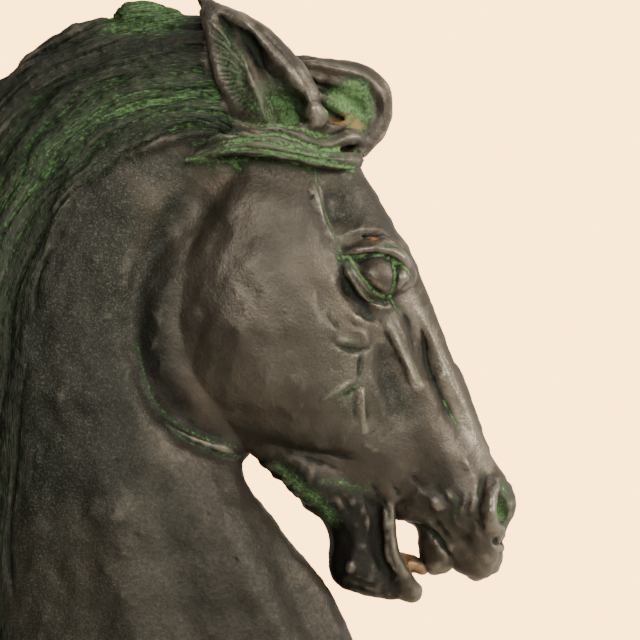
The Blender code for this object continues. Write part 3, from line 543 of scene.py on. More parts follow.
def modelStrokes(clay):
    # The muscles, bones and folds of the head and neck.
    # Cheek: a broad plate over the jaw, flat in the middle and undercut behind
    cheek = ((100, 549), (81, 535), (52, 508), (28, 477), (10, 448), (6, 420), (9, 396), (18, 373), (33, 348),
             (53, 329), (74, 316), (96, 306), (126, 301), (169, 293), (204, 300), (212, 350), (206, 410),
             (180, 470), (140, 530))
    clay.patch(cheek, 6, 30)
    fullness = ((110, 500), (72, 482), (50, 440), (46, 402), (62, 366), (96, 345), (150, 335), (180, 360),
                (176, 410), (156, 460))
    clay.patch(fullness, 5, 64)
    clay.settle()
    behindCheek = ((22, 516), (2, 476), (-8, 440), (-9, 411), (-4, 378), (8, 348), (24, 332), (41, 321),
                    (61, 309), (79, 302), (97, 294))
    clay.stroke(behindCheek, 12, -9, fade=0.2)
    clay.stroke(((20, 320), (36, 305), (51, 298), (77, 288), (96, 284)), 5, -4)
    clay.stroke(((14, 327), (34, 314), (54, 304), (78, 295), (98, 288)), 5, 3)
    # Hollow behind the jaw and under the ear
    clay.stroke(((76, 560), (50, 535), (20, 498), (-4, 455)), 20, -8)
    # Hollow of the temple, and the bony ridge that bounds it
    clay.stroke(((182, 560), (186, 530), (196, 505)), 15, -11, fade=0.3)
    clay.stroke(((160, 564), (165, 540), (172, 516), (180, 498), (188, 487)), 7, 6)
    # Brow over the eye
    clay.stroke(((188, 494), (206, 500), (228, 500), (250, 490), (262, 474)), 10, 7)
    # The bone under the eye, and the long hollow of the face in front of it
    clay.stroke(((196, 440), (206, 420), (216, 390), (226, 350), (236, 322)), 9, 5)
    clay.stroke(((232, 410), (240, 380), (250, 345), (262, 312)), 14, -5)
    clay.stroke(((243, 426), (254, 399), (266, 370), (276, 340)), 7, 5)
    # Edge of the nasal bone
    clay.stroke(((270, 425), (280, 396), (288, 366), (300, 338), (314, 312), (322, 300)), 6, -5, facing=-0.1)
    nasalBone = ((262, 448), (276, 420), (293, 390), (308, 356), (322, 330), (335, 302), (344, 280))
    clay.stroke(nasalBone, 6, 4, facing=-0.1)
    # Lower edge of the cheek and the flat side of the jaw below it
    clay.stroke(((100, 300), (126, 297), (169, 288), (216, 286)), 6, -4)
    clay.stroke(((150, 272), (180, 262), (206, 256)), 14, 3)
    clay.stroke(((160, 244), (176, 236), (196, 232), (214, 224)), 9, -3)
    # Lips: the roll of the lower lip with the groove behind it, and the lower edge of the upper lip
    clay.stroke(((232, 240), (230, 218), (230, 198), (236, 178), (248, 162)), 5, -5, fade=0.2)
    clay.stroke(((254, 224), (268, 224), (284, 216), (298, 204), (310, 190), (322, 176)), 6, 3)
    clay.stroke(((264, 216), (280, 213), (292, 204), (303, 192), (311, 178)), 3, -4, within=(12, 60))
    clay.stroke(((246, 258), (258, 246), (262, 232)), 6, -3)
    # Nostril: its rim, and the crease behind it
    rim = ((366, 264), (354, 258), (345, 248), (342, 233), (346, 217), (358, 206))
    clay.stroke(rim, 5, 6, facing=-0.3, within=(20, 99))
    clay.stroke(((352, 270), (339, 260), (332, 247), (331, 231), (337, 214)), 4, -5)
    clay.stroke(((346, 206), (360, 198), (372, 194)), 5, -4, facing=-0.1)
    # Muscles of the neck
    clay.stroke(((60, 280), (80, 220), (106, 160), (134, 90), (150, 20)), 22, 6)
    clay.stroke(((10, 290), (18, 220), (40, 140), (60, 60), (72, 0)), 20, -6)
    clay.stroke(((-40, 320), (-34, 240), (-18, 150), (0, 60), (10, 0)), 22, 6)
    clay.stroke(((118, 220), (140, 170), (168, 110), (190, 40)), 14, -4)
    clay.settle()


def modelEars(clay):
    # The rim, the fold and the bowl of the near ear's hollow, and the knob below it.
    inner = (horse["earInside"], noLimit)
    clay.stroke(((56, 730), (61, 700), (68, 670), (78, 642), (94, 618)), 4, 1.5, within=inner)
    frontBand = ((64, 732), (88, 716), (113, 698), (134, 676), (150, 653), (163, 630), (174, 612))
    clay.stroke(frontBand, 10, 5, within=inner, shape=3)
    clay.stroke(((78, 712), (94, 696), (106, 680), (116, 664), (126, 652)), 5, -5, within=inner)
    clay.patch(((118, 636), (142, 640), (156, 626), (154, 610), (132, 606), (116, 616)), -5, 12, within=inner)
    clay.patch(((150, 624), (164, 628), (178, 620), (176, 608), (160, 606)), 6, 10, within=inner)
    clay.settle()


def throatHollow(clay):
    # The hollow between the two bones of the jaw, seen from below.
    path = smoothCurve(((70, 318), (110, 286), (140, 258), (166, 234)), 6)
    gap, along, _ = pathDistance(clay.points[:, [0, 2]], path)
    ends = np.clip(np.minimum(along, 1 - along) / 0.2, 0, 1)
    under = np.clip(-0.6 * clay.normals[:, 0] - 0.8 * clay.normals[:, 2], 0, 1)
    middle = np.exp(-((clay.points[:, 1] / 20) ** 4))
    weight = np.exp(-((gap / 26) ** 2)) * ends * under * middle
    clay.points += np.outer(24 * weight, (0.6, 0, 0.8))
    clay.settle()


def eyes(clay):
    # Eyeball and lids, on both sides.
    opening = ((197, 481), (211, 463), (221, 449), (237, 443), (247, 450), (254, 464), (240, 477), (222, 482))
    clay.patch(opening, -6, 4)
    clay.settle()
    clay.ball(horse["cornerFront"], horse["cornerRadius"], opening)
    clay.ball(horse["eyeFront"], horse["eyeRadius"], opening)
    clay.settle()
    clay.stroke(((182, 482), (201, 486), (224, 489), (240, 484), (257, 470)), 4, 5, fade=0.15)
    clay.stroke(((188, 475), (202, 456), (216, 440), (232, 432), (248, 438)), 4, 5, fade=0.15)
    clay.stroke(((188, 497), (208, 502), (232, 502), (252, 492), (264, 474)), 5, -3)
    clay.stroke(((182, 470), (194, 448), (211, 430), (232, 420)), 5, -3)
    clay.settle()


# The fine carving, finer than the solid's
maneHair = {
    "band": 134,          # how far in from the crest the mane reaches
    "bandWaves": ((6, 31, 0), (4, 67, 1)),  # height, pace along the crest, start
    "bandFade": 10,
    "crestLength": 1240,
    "sway": ((9, 148, 0.02, 1), (4.5, 61, 0.045, 2), (1.8, 26, 0.08, 0)),  # height, length, lean, turn
    "drift": ((2.6, 72, 1.9), (1.2, 31, 4.3)),  # height, length, turn from lock to lock
    "lockPitch": 19,      # clay units between the valleys that part two locks
    "lockDepth": 7.0,
    "strandPitch": 6.2,
    "strandDepth": 1.4,
    "hairPitch": 2.6,
    "hairDepth": 0.3,
    "farTurn": 1.7,       # the far side's waves start later
    # Where the ear's rear rim is, by height, and how far out the ear begins above and below its middle
    "rimHeights": (600, 626, 642, 660, 682, 704, 727),
    "rimPlaces": (88, 75, 65, 58, 53, 51, 56),
    "earMiddle": 655,
    "earOutAbove": 43,
    "earOutBelow": 52,
}


def flowOnCrest(points):
    # Each point's share along the crest and its distance inwards from it.
    _, along, inset = pathDistance(points[:, [0, 2]], smoothCurve(horse["crest"], 6))
    return along, inset


def maneMask(clay, along, inset):
    # 1 on the mane, fading at its lower edge, 0 on the ears, the forelock and the head.
    h = maneHair
    wavy = sum((height * np.sin(pace * along + start) for height, pace, start in h["bandWaves"]), h["band"])
    mask = np.clip((wavy - inset) / h["bandFade"], 0, 1)
    x, z = clay.points[:, 0], clay.points[:, 2]
    out = np.abs(clay.points[:, 1])
    behindEar = np.clip((96 - x) / 8, 0, 1)
    rim = np.interp(z, h["rimHeights"], h["rimPlaces"])
    earOut = np.where(z > h["earMiddle"], h["earOutAbove"], h["earOutBelow"] + 0.12 * np.maximum(0, 110 - x))
    atEar = (x > rim) & (x < 180) & (out > earOut) & (z > 588)
    atLocks = (x > 28) & (z < 596) & (z > 552) & (out > 66)
    return mask * behindEar * ~atEar * ~atLocks


def hairRelief(along, across, turned):
    # Depth of the combed lines: locks parted by valleys, strands that merge in each lock, and single hairs.
    h = maneHair
    sway = sum(height * np.sin(along / length + lean * across + turn * turned)
               for height, length, lean, turn in h["sway"])
    place = (across + sway) / h["lockPitch"]
    lock = np.floor(place)
    valley = (1 - np.sin(np.pi * (place - lock))) ** 3
    depth = h["lockDepth"] * valley * (0.6 + 0.4 * np.sin(along / 83 + 2.4 * lock))
    drift = sum(height * np.sin(along / length + turn * lock) for height, length, turn in h["drift"])
    place = (across + sway + drift) / h["strandPitch"]
    strand = np.floor(place)
    groove = (1 - np.abs(np.sin(np.pi * place))) ** 2
    depth += h["strandDepth"] * groove * np.clip(0.45 + 0.75 * np.sin(along / 37 + 2.1 * strand), 0, 1)
    place = (across + sway + 1.5 * drift + 0.8 * np.sin(along / 17)) / h["hairPitch"]
    return depth + h["hairDepth"] * (1 - np.abs(np.sin(np.pi * place)))


def combMane(clay):
    # Cuts the hair's relief into the mane.
    along, inset = flowOnCrest(clay.points)
    mask = maneMask(clay, along, inset)
    held = np.nonzero(mask > 0)[0]
    turned = np.where(clay.points[held, 1] > 0, maneHair["farTurn"], 0.0)
    sink = hairRelief(along[held] * maneHair["crestLength"], inset[held], turned)
    clay.points[held] -= clay.normals[held] * (mask[held] * sink)[:, None]
    clay.settle()


forelockHair = {
    "lines": 10,      # on each side of the middle
    "pitch": 4.2,     # clay units between two of them
    "depth": 1.8,
    "width": 1.2,
    "deepEvery": 3,
    "deepDepth": 4.6,
    "deepWidth": 2.4,
}


def combForelock(clay):
    # Strands over the roll, from the poll to the forehead.
    x, y, z = clay.points.T
    turn = np.arctan2(z - horse["rollMiddle"][1], x - horse["rollMiddle"][0])
    held = np.clip((x - horse["rollBack"]) / 30, 0, 1) * np.clip((z - horse["rollFoot"]) / 14, 0, 1)
    held *= np.clip((0.8 - np.abs(clay.normals[:, 1])) / 0.3, 0, 1)
    sink = np.zeros(len(x))
    h = forelockHair
    for number in range(-h["lines"], h["lines"] + 1):
        line = h["pitch"] * number + 3.6 * np.sin(1.7 * turn + 0.55 * number)
        line += 0.8 * np.sin(7 * turn + 2 * number)
        deep = number % h["deepEvery"] == 0
        width = h["deepWidth"] if deep else h["width"]
        depth = h["deepDepth"] if deep else h["depth"]
        sink = np.maximum(sink, depth * np.exp(-(((y - line) / width) ** 2)))
    clay.points -= clay.normals * (held * sink)[:, None]
    clay.settle()


faceCarving = {
    # path, width, depth, and for lines that hold bright green its width and strength
    "lines": (
        # upper lid's edge and fold, lower lid's double edge, the ball's front edge
        (((183, 481), (198, 481), (222, 483), (238, 478), (250, 471), (257, 464)), 1.6, -2.6, 2.4, 1.0),
        (((221, 490), (236, 492), (249, 490), (257, 480)), 1.8, -1.8, 2.0, 0.8),
        (((196, 479), (203, 467), (212, 455), (221, 447), (232, 443), (240, 443)), 1.6, -2.6, 2.6, 1.0),
        (((189, 478), (197, 464), (207, 450), (219, 439), (230, 436), (240, 438)), 1.5, -1.6, 1.8, 0.7),
        (((238, 477), (240, 462), (238, 445)), 1.5, -2.6, 2.4, 1.0),
        (((184, 480), (189, 463), (199, 447), (212, 432)), 1.8, -1.7),
        (((241, 443), (247, 434), (253, 426)), 2.0, -2.4, 2.4, 0.8),
        (((184, 497), (204, 504), (230, 505), (250, 496)), 2.2, -1.4),
        # strands of the locks below the ear
        (((44, 573), (62, 582), (86, 589), (110, 590), (136, 585), (160, 579), (190, 577)), 1.7, -2.6),
        (((52, 578), (70, 588), (92, 592), (116, 592), (140, 586), (166, 582)), 1.4, -1.8),
        (((50, 573), (74, 580), (104, 582), (136, 577), (164, 572), (196, 571)), 1.6, -2.2),
        (((70, 596), (88, 603), (104, 597), (122, 598), (140, 594), (158, 587), (176, 583), (196, 590)),
         2.0, -2.6),
        (((74, 610), (92, 604), (112, 601), (132, 600), (150, 594), (166, 588)), 1.2, -1.2),
        # creased skin under the eye
        (((192, 436), (206, 426), (222, 420), (238, 420)), 2.6, -1.6),
        (((190, 422), (204, 414), (220, 409)), 2.4, -1.2),
        (((196, 428), (210, 421), (226, 415)), 3.0, 1.4),
        (((170, 430), (176, 418), (186, 410)), 2.6, -1.4),
        (((162, 452), (164, 432), (172, 412)), 3.4, -1.4),
        # branching crease, with the ridge of a vein below it
        (((172, 403), (182, 396), (196, 391), (209, 391), (220, 395), (228, 398)), 2.4, -2.8),
        (((180, 404), (194, 399), (208, 400)), 3.0, 1.6),
        (((209, 392), (207, 374), (207, 358)), 2.4, -3.2),
        (((208, 356), (210, 336), (215, 312)), 3.2, 4.2),
        (((202, 352), (202, 336), (204, 318)), 2.4, -1.4),
        (((164, 340), (178, 350), (192, 358), (204, 362)), 2.8, 2.2),
        (((186, 344), (196, 350), (206, 356)), 2.4, -2.2),
        (((176, 338), (188, 340), (198, 346)), 2.2, -1.2),
        # hollow of the face between the vein and the bone of the nose
        (((222, 386), (232, 366), (248, 340)), 11.0, -3.6),
        (((216, 392), (228, 398), (238, 396)), 4.0, 1.6),
        (((238, 416), (248, 398), (260, 374), (267, 352)), 3.2, 4.2),
        (((228, 424), (236, 408), (246, 392)), 2.4, -1.6),
        (((250, 436), (261, 420), (269, 400), (275, 382)), 3.0, -2.8),
        (((214, 306), (226, 312), (238, 322)), 2.2, -1.0),
        (((222, 300), (236, 308), (250, 320)), 2.2, -1.0),
        (((206, 302), (220, 296), (236, 288)), 3.0, 1.2),
        # long creases beside the bone of the nose
        (((271, 424), (281, 398), (286, 370), (296, 346), (308, 325), (318, 308)), 2.2, -2.6),
        (((285, 420), (296, 392), (308, 366), (320, 340), (330, 318)), 2.0, -1.5),
        (((296, 396), (306, 374), (316, 350), (326, 328)), 2.4, 1.3),
        # creases over the nostril and on the upper lip
        (((331, 262), (322, 246), (320, 228), (326, 210)), 2.6, -1.6),
        (((316, 250), (310, 232), (312, 214)), 2.4, -1.2),
        (((344, 204), (352, 198), (362, 195), (372, 196)), 2.2, -2.4),
        (((350, 190), (360, 186), (370, 186)), 2.0, -1.3),
        (((300, 232), (308, 220), (318, 208), (330, 196)), 2.4, -1.2),
        (((286, 236), (296, 222), (306, 208), (318, 194)), 2.4, 1.2),
        (((279, 216), (291, 207), (302, 195), (311, 180)), 1.8, -2.6),
        # ridges that run from the cheek to the upper lip
        (((268, 262), (280, 248), (294, 232), (308, 214)), 3.6, 2.0),
        (((262, 270), (272, 258), (284, 242)), 2.8, -1.8),
        (((286, 262), (296, 246), (306, 232)), 3.0, -1.4),
        (((314, 288), (322, 272), (326, 256)), 3.4, 1.6),
        (((326, 226), (334, 212), (342, 200)), 3.0, -1.6),
        # corner of the mouth
        (((232, 250), (238, 240), (243, 230), (246, 216)), 2.2, -2.0),
        (((222, 262), (230, 250), (234, 238)), 2.2, -1.8),
        (((240, 264), (250, 252), (256, 240)), 2.2, -1.4),
        (((214, 250), (222, 240), (226, 228)), 2.2, -1.6),
        # chin and lower lip
        (((234, 214), (234, 196), (240, 178), (252, 163)), 2.6, -2.8),
        (((206, 240), (214, 222), (222, 204), (228, 186)), 5.0, -2.6),
        (((190, 252), (200, 238), (206, 222)), 3.4, -2.2),
        (((206, 166), (218, 160), (232, 157)), 2.4, -1.6),
        (((246, 206), (248, 190), (255, 175)), 2.0, 1.2),
        # edge of the jaw, folds below it, and the second fold behind the cheek
        (((118, 300), (150, 294), (190, 287), (222, 280)), 2.4, -1.8),
        (((140, 290), (166, 283), (190, 274), (206, 262)), 2.6, -1.6),
        (((20, 322), (36, 307), (52, 299), (78, 290), (98, 286)), 1.8, -2.2, 2.2, 0.6),
        (((4, 352), (20, 330), (40, 315), (66, 303), (92, 296)), 2.0, -1.8),
        (((-6, 420), (-4, 386), (6, 352)), 3.0, -1.6),
        # ridge of the temple
        (((163, 566), (167, 540), (176, 514), (185, 492)), 1.8, -1.6),
    ),
    # Knobs along the underside of the jaw and lumps on the lips: x, z, radius
    "knobs": ((126, 276, 9), (140, 262, 9), (154, 250, 10), (166, 240, 9), (178, 228, 10), (187, 214, 9),
              (196, 238, 8), (190, 192, 10), (206, 176, 9), (352, 200, 7), (358, 184, 7), (346, 172, 8)),
    "knobOut": 28,
    "knobHeight": 2.6,
}


def carveFace(clay):
    # Eyelids, creases, veins and lips, cut finer than in the solid.
    for path, width, depth, *_ in faceCarving["lines"]:
        clay.stroke(path, width, depth, facing=-0.2, fade=0.3)
    for x, z, size in faceCarving["knobs"]:
        clay.knob((x, faceCarving["knobOut"], z), size, faceCarving["knobHeight"])
    clay.settle()


def carveEars(clay):
    # A fan of fine hairs from the bowl to the rear rim, the long valley, and the fold inside the front rim.
    inner = (horse["earInside"], noLimit)
    rim = smoothCurve(((64, 722), (60, 704), (62, 682), (67, 660), (74, 642), (84, 626), (96, 615)), 8)
    root = np.array((109, 637))
    hairs = 21
    for number in range(hairs):
        tip = rim[int(number / (hairs - 1) * (len(rim) - 1))]
        start = root + 0.22 * (tip - root)
        bend = (start + tip) / 2 + (3.5, 4.5)
        clay.stroke((start, bend, tip), 1.4, -2.2, facing=0.1, fade=0.3, within=inner)
    for path, width, depth in (
            (((68, 722), (80, 704), (93, 682), (102, 660), (108, 642)), 2.4, -2.4),
            (((92, 704), (102, 690), (110, 676), (120, 662)), 3.2, -3.6),
            (((94, 712), (116, 694), (136, 672), (150, 650), (158, 632)), 2.0, -1.8),
            (((104, 690), (114, 674), (126, 660), (138, 648)), 3.0, 2.2)):
        clay.stroke(path, width, depth, facing=-0.4, within=inner)
    clay.settle()


def handWork(clay):
    # The slight unevenness that fingers and tools leave in the clay, more of it on the muzzle.
    rng = np.random.default_rng(7)
    p = clay.points
    wave = np.zeros(len(p))
    for size, height, count in ((60, 0.55, 9), (24, 0.34, 12), (11, 0.16, 14)):
        for _ in range(count):
            way = rng.normal(size=3)
            way /= np.linalg.norm(way)
            phase = p @ way * (2 * math.pi / size) + rng.uniform(0, 6.28)
            wave += height / math.sqrt(count / 2) * np.sin(phase)
    rougher = 1 + 1.3 * np.clip((p[:, 0] - 240) / 40, 0, 1) * np.clip((300 - p[:, 2]) / 40, 0, 1)
    clay.points += clay.normals * (wave * rougher)[:, None]
    clay.settle()


def mainPiece(grain):
    # The whole casting at a grain, before its base is cut flat.
    muzzle = sectionLoft("muzzle", horse["muzzle"])
    neck, head, jaw = [sectionLoft(name, horse[name]) for name in ("neck", "head", "jaw")]
    masses = [neck, head, muzzle, jaw]
    for side in (near, far):
        cutAway(muzzle, taperedLock("nostril", horse["nostril"], -side, horse["nostrilFlatness"]))
        masses.append(taperedLock("eyeBone", horse["eyeBone"], -side, 0.7))
        masses.append(taperedLock("lipRoll", horse["lipRoll"], -side))
    body = fuse("body", masses, grain)
    Clay(body).smooth(10)
    hair = [*mane(skinTree(body)), sectionLoft("forelockRoll", horse["forelockRoll"])]
    for side in (near, far):
        for path in horse["forelockLocks"]:
            hair.append(taperedLock("forelock", path, -side, strands=6))
    gum = sectionLoft("gum", horse["gum"])
    tongue = taperedLock("tongue", horse["tongue"], 1, horse["tongueFlatness"])
    whole = fuse("casting", [body, gum, tongue, ear(near), ear(far), *hair], grain)
    clay = Clay(whole)
    clay.smooth(3)
    modelStrokes(clay)
    modelEars(clay)
    throatHollow(clay)
    eyes(clay)
    clay.smooth(2)
    print("  large forms done")
    combMane(clay)
    combForelock(clay)
    carveFace(clay)
    carveEars(clay)
    handWork(clay)
    print("  fine carving done")
    return whole


def dropLooseShells(obj):
    # The remesh may leave small shells inside: only the largest stays.
    shell = bmesh.new()
    shell.from_mesh(obj.data)
    shell.verts.ensure_lookup_table()
    seen = set()
    groups = []
    for start in shell.verts:
        if start.index in seen:
            continue
        seen.add(start.index)
        group, front = [start], [start]
        while front:
            vertex = front.pop()
            for edge in vertex.link_edges:
                other = edge.other_vert(vertex)
                if other.index not in seen:
                    seen.add(other.index)
                    group.append(other)
                    front.append(other)
        groups.append(group)
    groups.sort(key=len)
    for group in groups[:-1]:
        bmesh.ops.delete(shell, geom=group, context="VERTS")
    shell.to_mesh(obj.data)
    shell.free()


def cutFlat(obj, level):
    # A level cut, closed again.
    bpy.ops.object.select_all(action="DESELECT")
    bpy.context.view_layer.objects.active = obj
    obj.select_set(True)
    bpy.ops.object.mode_set(mode="EDIT")
    bpy.ops.mesh.select_all(action="SELECT")
    bpy.ops.mesh.bisect(plane_co=(0, 0, level), plane_no=(0, 0, -1), use_fill=True, clear_outer=True)
    bpy.ops.object.mode_set(mode="OBJECT")


def thinOut(obj, triangles):
    # Leaves so many triangles, fewest where the skin is flat.
    count = sum(len(p.vertices) - 2 for p in obj.data.polygons)
    if count > triangles:
        applyModifier(obj, "DECIMATE", {"ratio": triangles / count})
    print("  thinned from", count, "triangles to", len(obj.data.polygons), "faces")


def keepInside(obj, box):
    # Nothing stands proud of the solid's box, and the base stays on the floor.
    hair = 1e-5  # metres
    low, high = np.array(box[0]), np.array(box[1])
    found = readRows(obj.data.vertices, "co", 3)
    points = np.clip(found, low + hair, high - hair)
    points[:, 2] = np.where(found[:, 2] < hair, 0, points[:, 2])
    obj.data.vertices.foreach_set("co", points.astype(np.float32).ravel())
    obj.data.update()


# Where the casting has aged, and where shade and highlights are painted, beside the green lines of the face's
# carving
weathering = {
    # Lines of bright green: path, width, strength
    "greenLines": (
        (((184, 480), (189, 463), (199, 447)), 1.8, 0.6),
        (((163, 566), (167, 540), (176, 514), (187, 486)), 2.4, 0.7),
        (((300, 340), (308, 325), (318, 308)), 2.0, 0.8),
        (((186, 398), (198, 400), (210, 402)), 3.4, 0.5),
        (((196, 384), (202, 390), (212, 386)), 3.4, 0.45),
        (((176, 346), (190, 352), (204, 356)), 3.6, 0.6),
        (((192, 340), (200, 352), (206, 358)), 3.6, 0.6),
        (((36, 573), (62, 573), (96, 574), (126, 579), (150, 574), (178, 569), (206, 566)), 2.6, 0.95),
        (((48, 588), (75, 597), (100, 594), (130, 590), (160, 582), (190, 579)), 3.0, 0.7),
        (((56, 578), (84, 584), (112, 586), (140, 580), (168, 575)), 3.6, 0.6),
        (((84, 613), (106, 607), (134, 606), (160, 601), (182, 597)), 4.0, 0.85),
        (((104, 566), (140, 562), (180, 558), (214, 556)), 7.0, 0.35),
        (((232, 250), (238, 240), (243, 230)), 2.6, 0.5),
        (((206, 262), (222, 262), (234, 254)), 4.0, 0.5),
        (((-8, 400), (4, 352), (20, 330), (40, 315), (66, 303), (92, 296)), 3.0, 0.6),
        (((132, 276), (160, 252), (176, 240), (188, 222)), 9.0, 0.75),
        (((176, 264), (200, 259), (220, 250)), 7.0, 0.6),
        (((308, 248), (310, 236), (308, 224)), 4.0, 0.5),
        (((331, 252), (327, 238), (330, 224)), 2.0, 0.5),
        (((262, 214), (256, 204), (258, 190)), 3.0, 0.5),
        (((262, 176), (272, 170), (278, 166)), 3.0, 0.5),
        (((284, 216), (296, 206), (306, 192)), 2.6, 0.5),
    ),
    # Areas of green: outline, softness, nearest to the middle, then its amount, what a recess adds, the most
    "greenAreas": (
        # the poll, the ear's bowl and its rear wall
        (((-50, 690), (-40, 716), (-10, 742), (40, 742), (56, 716), (20, 690)), 30, 0, 0.7, 0, 1),
        (((96, 640), (118, 656), (140, 650), (156, 622), (150, 604), (112, 604), (96, 618)),
         16, horse["earInside"], 0.55, 0.4, 1.1),
        (((70, 716), (96, 690), (104, 650), (96, 618), (78, 640), (66, 680)),
         14, horse["earInside"], 0.55, 0, 1),
        # the hollow of the forelock's loop, the locks below the ear, and the skin under them
        (((176, 640), (196, 656), (220, 652), (226, 622), (214, 602), (186, 612), (170, 620)),
         12, 0, 0.85, 1, 1),
        (((30, 568), (60, 588), (110, 602), (170, 600), (216, 586), (200, 562), (110, 560), (60, 556)),
         12, 40, 0.45, 1.3, 0.95),
        (((28, 560), (80, 572), (130, 566), (190, 562), (226, 566), (214, 548), (120, 552), (50, 550)),
         10, 30, 0.2, 0.8, 0.8),
        # the nostrils
        (((352, 256), (366, 262), (376, 240), (366, 210), (352, 208), (346, 232)), 6, 0, 0.5, 1.2, 1),
    ),
    # Areas with a dusting: outline, softness, strength. Neck, crumpled skin, temple and the forelock's loop
    "dustAreas": (
        (((-20, 600), (40, 566), (20, 480), (-10, 400), (-60, 420), (-80, 560)), 40, 1.0),
        (((164, 444), (236, 424), (262, 400), (286, 340), (250, 316), (196, 320), (166, 340), (158, 400)),
         24, 0.9),
        (((186, 560), (160, 560), (164, 530), (186, 490), (206, 500), (214, 540)), 16, 0.9),
        (((176, 640), (196, 656), (220, 652), (226, 622), (214, 602), (186, 612), (170, 620)), 12, 1.0),
    ),
    # Areas of painted shade, with darker patina: the hollows behind the cheek and in the face, the jaw's
    # underside, the throat and the neck: outline, softness, strength
    "shadeAndDarkPatinaAreas": (
        (((18, 545), (-2, 500), (-14, 450), (-20, 400), (-12, 350), (6, 318), (44, 296), (96, 286), (92, 300),
          (52, 316), (24, 342), (8, 380), (4, 420), (14, 460), (34, 510), (44, 545)), 26, 1.0),
        (((-260, 620), (-140, 640), (-60, 600), (0, 540), (6, 400), (14, 320), (-20, 240), (-260, 240)),
         60, 1.0),
        (((12, 474), (-6, 440), (-8, 400), (0, 360), (24, 328), (48, 338), (28, 380), (24, 420), (34, 470)),
         22, 0.9),
        (((-260, 300), (-40, 300), (60, 300), (110, 260), (250, -40), (-260, -40)), 60, 0.7),
        (((96, 290), (120, 250), (180, 130), (250, -20), (290, -20), (200, 160), (130, 270)), 20, 0.5),
        (((176, 250), (196, 262), (222, 250), (250, 236), (250, 190), (262, 150), (230, 138), (180, 150),
          (176, 220)), 18, 1.0),
        (((120, 290), (150, 284), (186, 262), (190, 226), (170, 222), (146, 244), (118, 280)), 14, 0.8),
        (((226, 396), (238, 392), (252, 360), (258, 330), (240, 322), (228, 350)), 14, 0.8),
        (((186, 560), (232, 560), (252, 500), (230, 500), (196, 510), (182, 530)), 16, 0.55),
        (((90, 560), (176, 556), (172, 500), (150, 480), (104, 496)), 44, 0.6),
        (((30, 600), (90, 606), (60, 560), (20, 540), (-40, 560), (-100, 600), (-40, 612)), 30, 0.7),
        (((100, 318), (200, 312), (214, 296), (120, 292)), 20, 0.35),
        (((262, 270), (300, 290), (320, 260), (312, 216), (286, 226), (262, 240)), 26, 0.6),
    ),
    # Ridges that hands and cloths have worn, with painted highlights of sheen along the nose, the cheek and the
    # temple: path, width, strength
    "wearAndSheenLines": (
        (((258, 448), (276, 416), (295, 380), (312, 344), (330, 308), (346, 276)), 10, 1.0),
        (((208, 352), (210, 336), (215, 312)), 3.6, 1.0),
        (((240, 414), (250, 396), (261, 374), (268, 352)), 3.6, 1.0),
        (((348, 208), (354, 190), (348, 170)), 10, 0.6),
        (((318, 196), (332, 178), (346, 164)), 7, 0.5),
        (((300, 300), (316, 262), (330, 246)), 12, 0.4),
        (((346, 262), (340, 240), (344, 214)), 4, 0.7),
        (((246, 236), (247, 204), (258, 170)), 4, 0.6),
        (((100, 702), (128, 680), (148, 652), (162, 628)), 7, 0.35),
        (((60, 470), (90, 440), (120, 400), (110, 360)), 46, 0.35),
        (((90, 540), (130, 520), (150, 480)), 40, 0.35),
    ),
    # Bare warm metal and brown lacquer: outline, softness, furthest from the middle
    "bareAreas": (
        (((180, 619), (196, 622), (214, 612), (212, 605), (196, 610), (184, 610)), 5, noLimit),
        (((250, 190), (264, 188), (284, 172), (282, 162), (266, 170), (252, 182)), 5, 26),
        (((216, 498), (222, 501), (226, 496), (220, 493)), 5, noLimit),
    ),
    # How deep the fine and the broad hollows begin to count, over how much they come in, and their weight
    "recess": ((0.06, 0.5, 0.6), (0.5, 3.0, 0.7)),
    "rubbedAndSheen": ((0.06, 0.4, 0.5), (0.4, 3.0, 0.7)),
    "maneGreenInset": 78,  # the greenest band of the mane, in from the crest, and how far it reaches each way
    "maneGreenReach": 52,
    "bloom": 0.42,         # thin green in every other recess
    "maneShade": 0.95,
    "flowStretch": 0.12,   # strands are drawn this much as wide as they are long
}


def inArea(points, outline, soft):
    # 1 inside an outline of the side view, fading over its edge.
    return insideShare(points[:, [0, 2]], smoothCurve([*outline, outline[0]], 6), soft)


def hollows(clay, rounds):
    # How far each point lies below (above, where negative) the smoothed surface round it.
    before = clay.points.copy()
    clay.smooth(rounds, settle=False)
    depth = ((clay.points - before) * clay.normals).sum(axis=1)
    clay.points = before
    return depth


def alongLines(points, lines):
    # How strongly each point lies on one of the lines of the side view.
    found = np.zeros(len(points))
    for path, width, strength in lines:
        curve = smoothCurve(path, 5)
        index, flat = nearCurve(points, curve, 2.5 * width)
        if len(index):
            gap = pathDistance(flat, curve)[0]
            found[index] = np.maximum(found[index], strength * np.exp(-((gap / width) ** 2)))
    return found


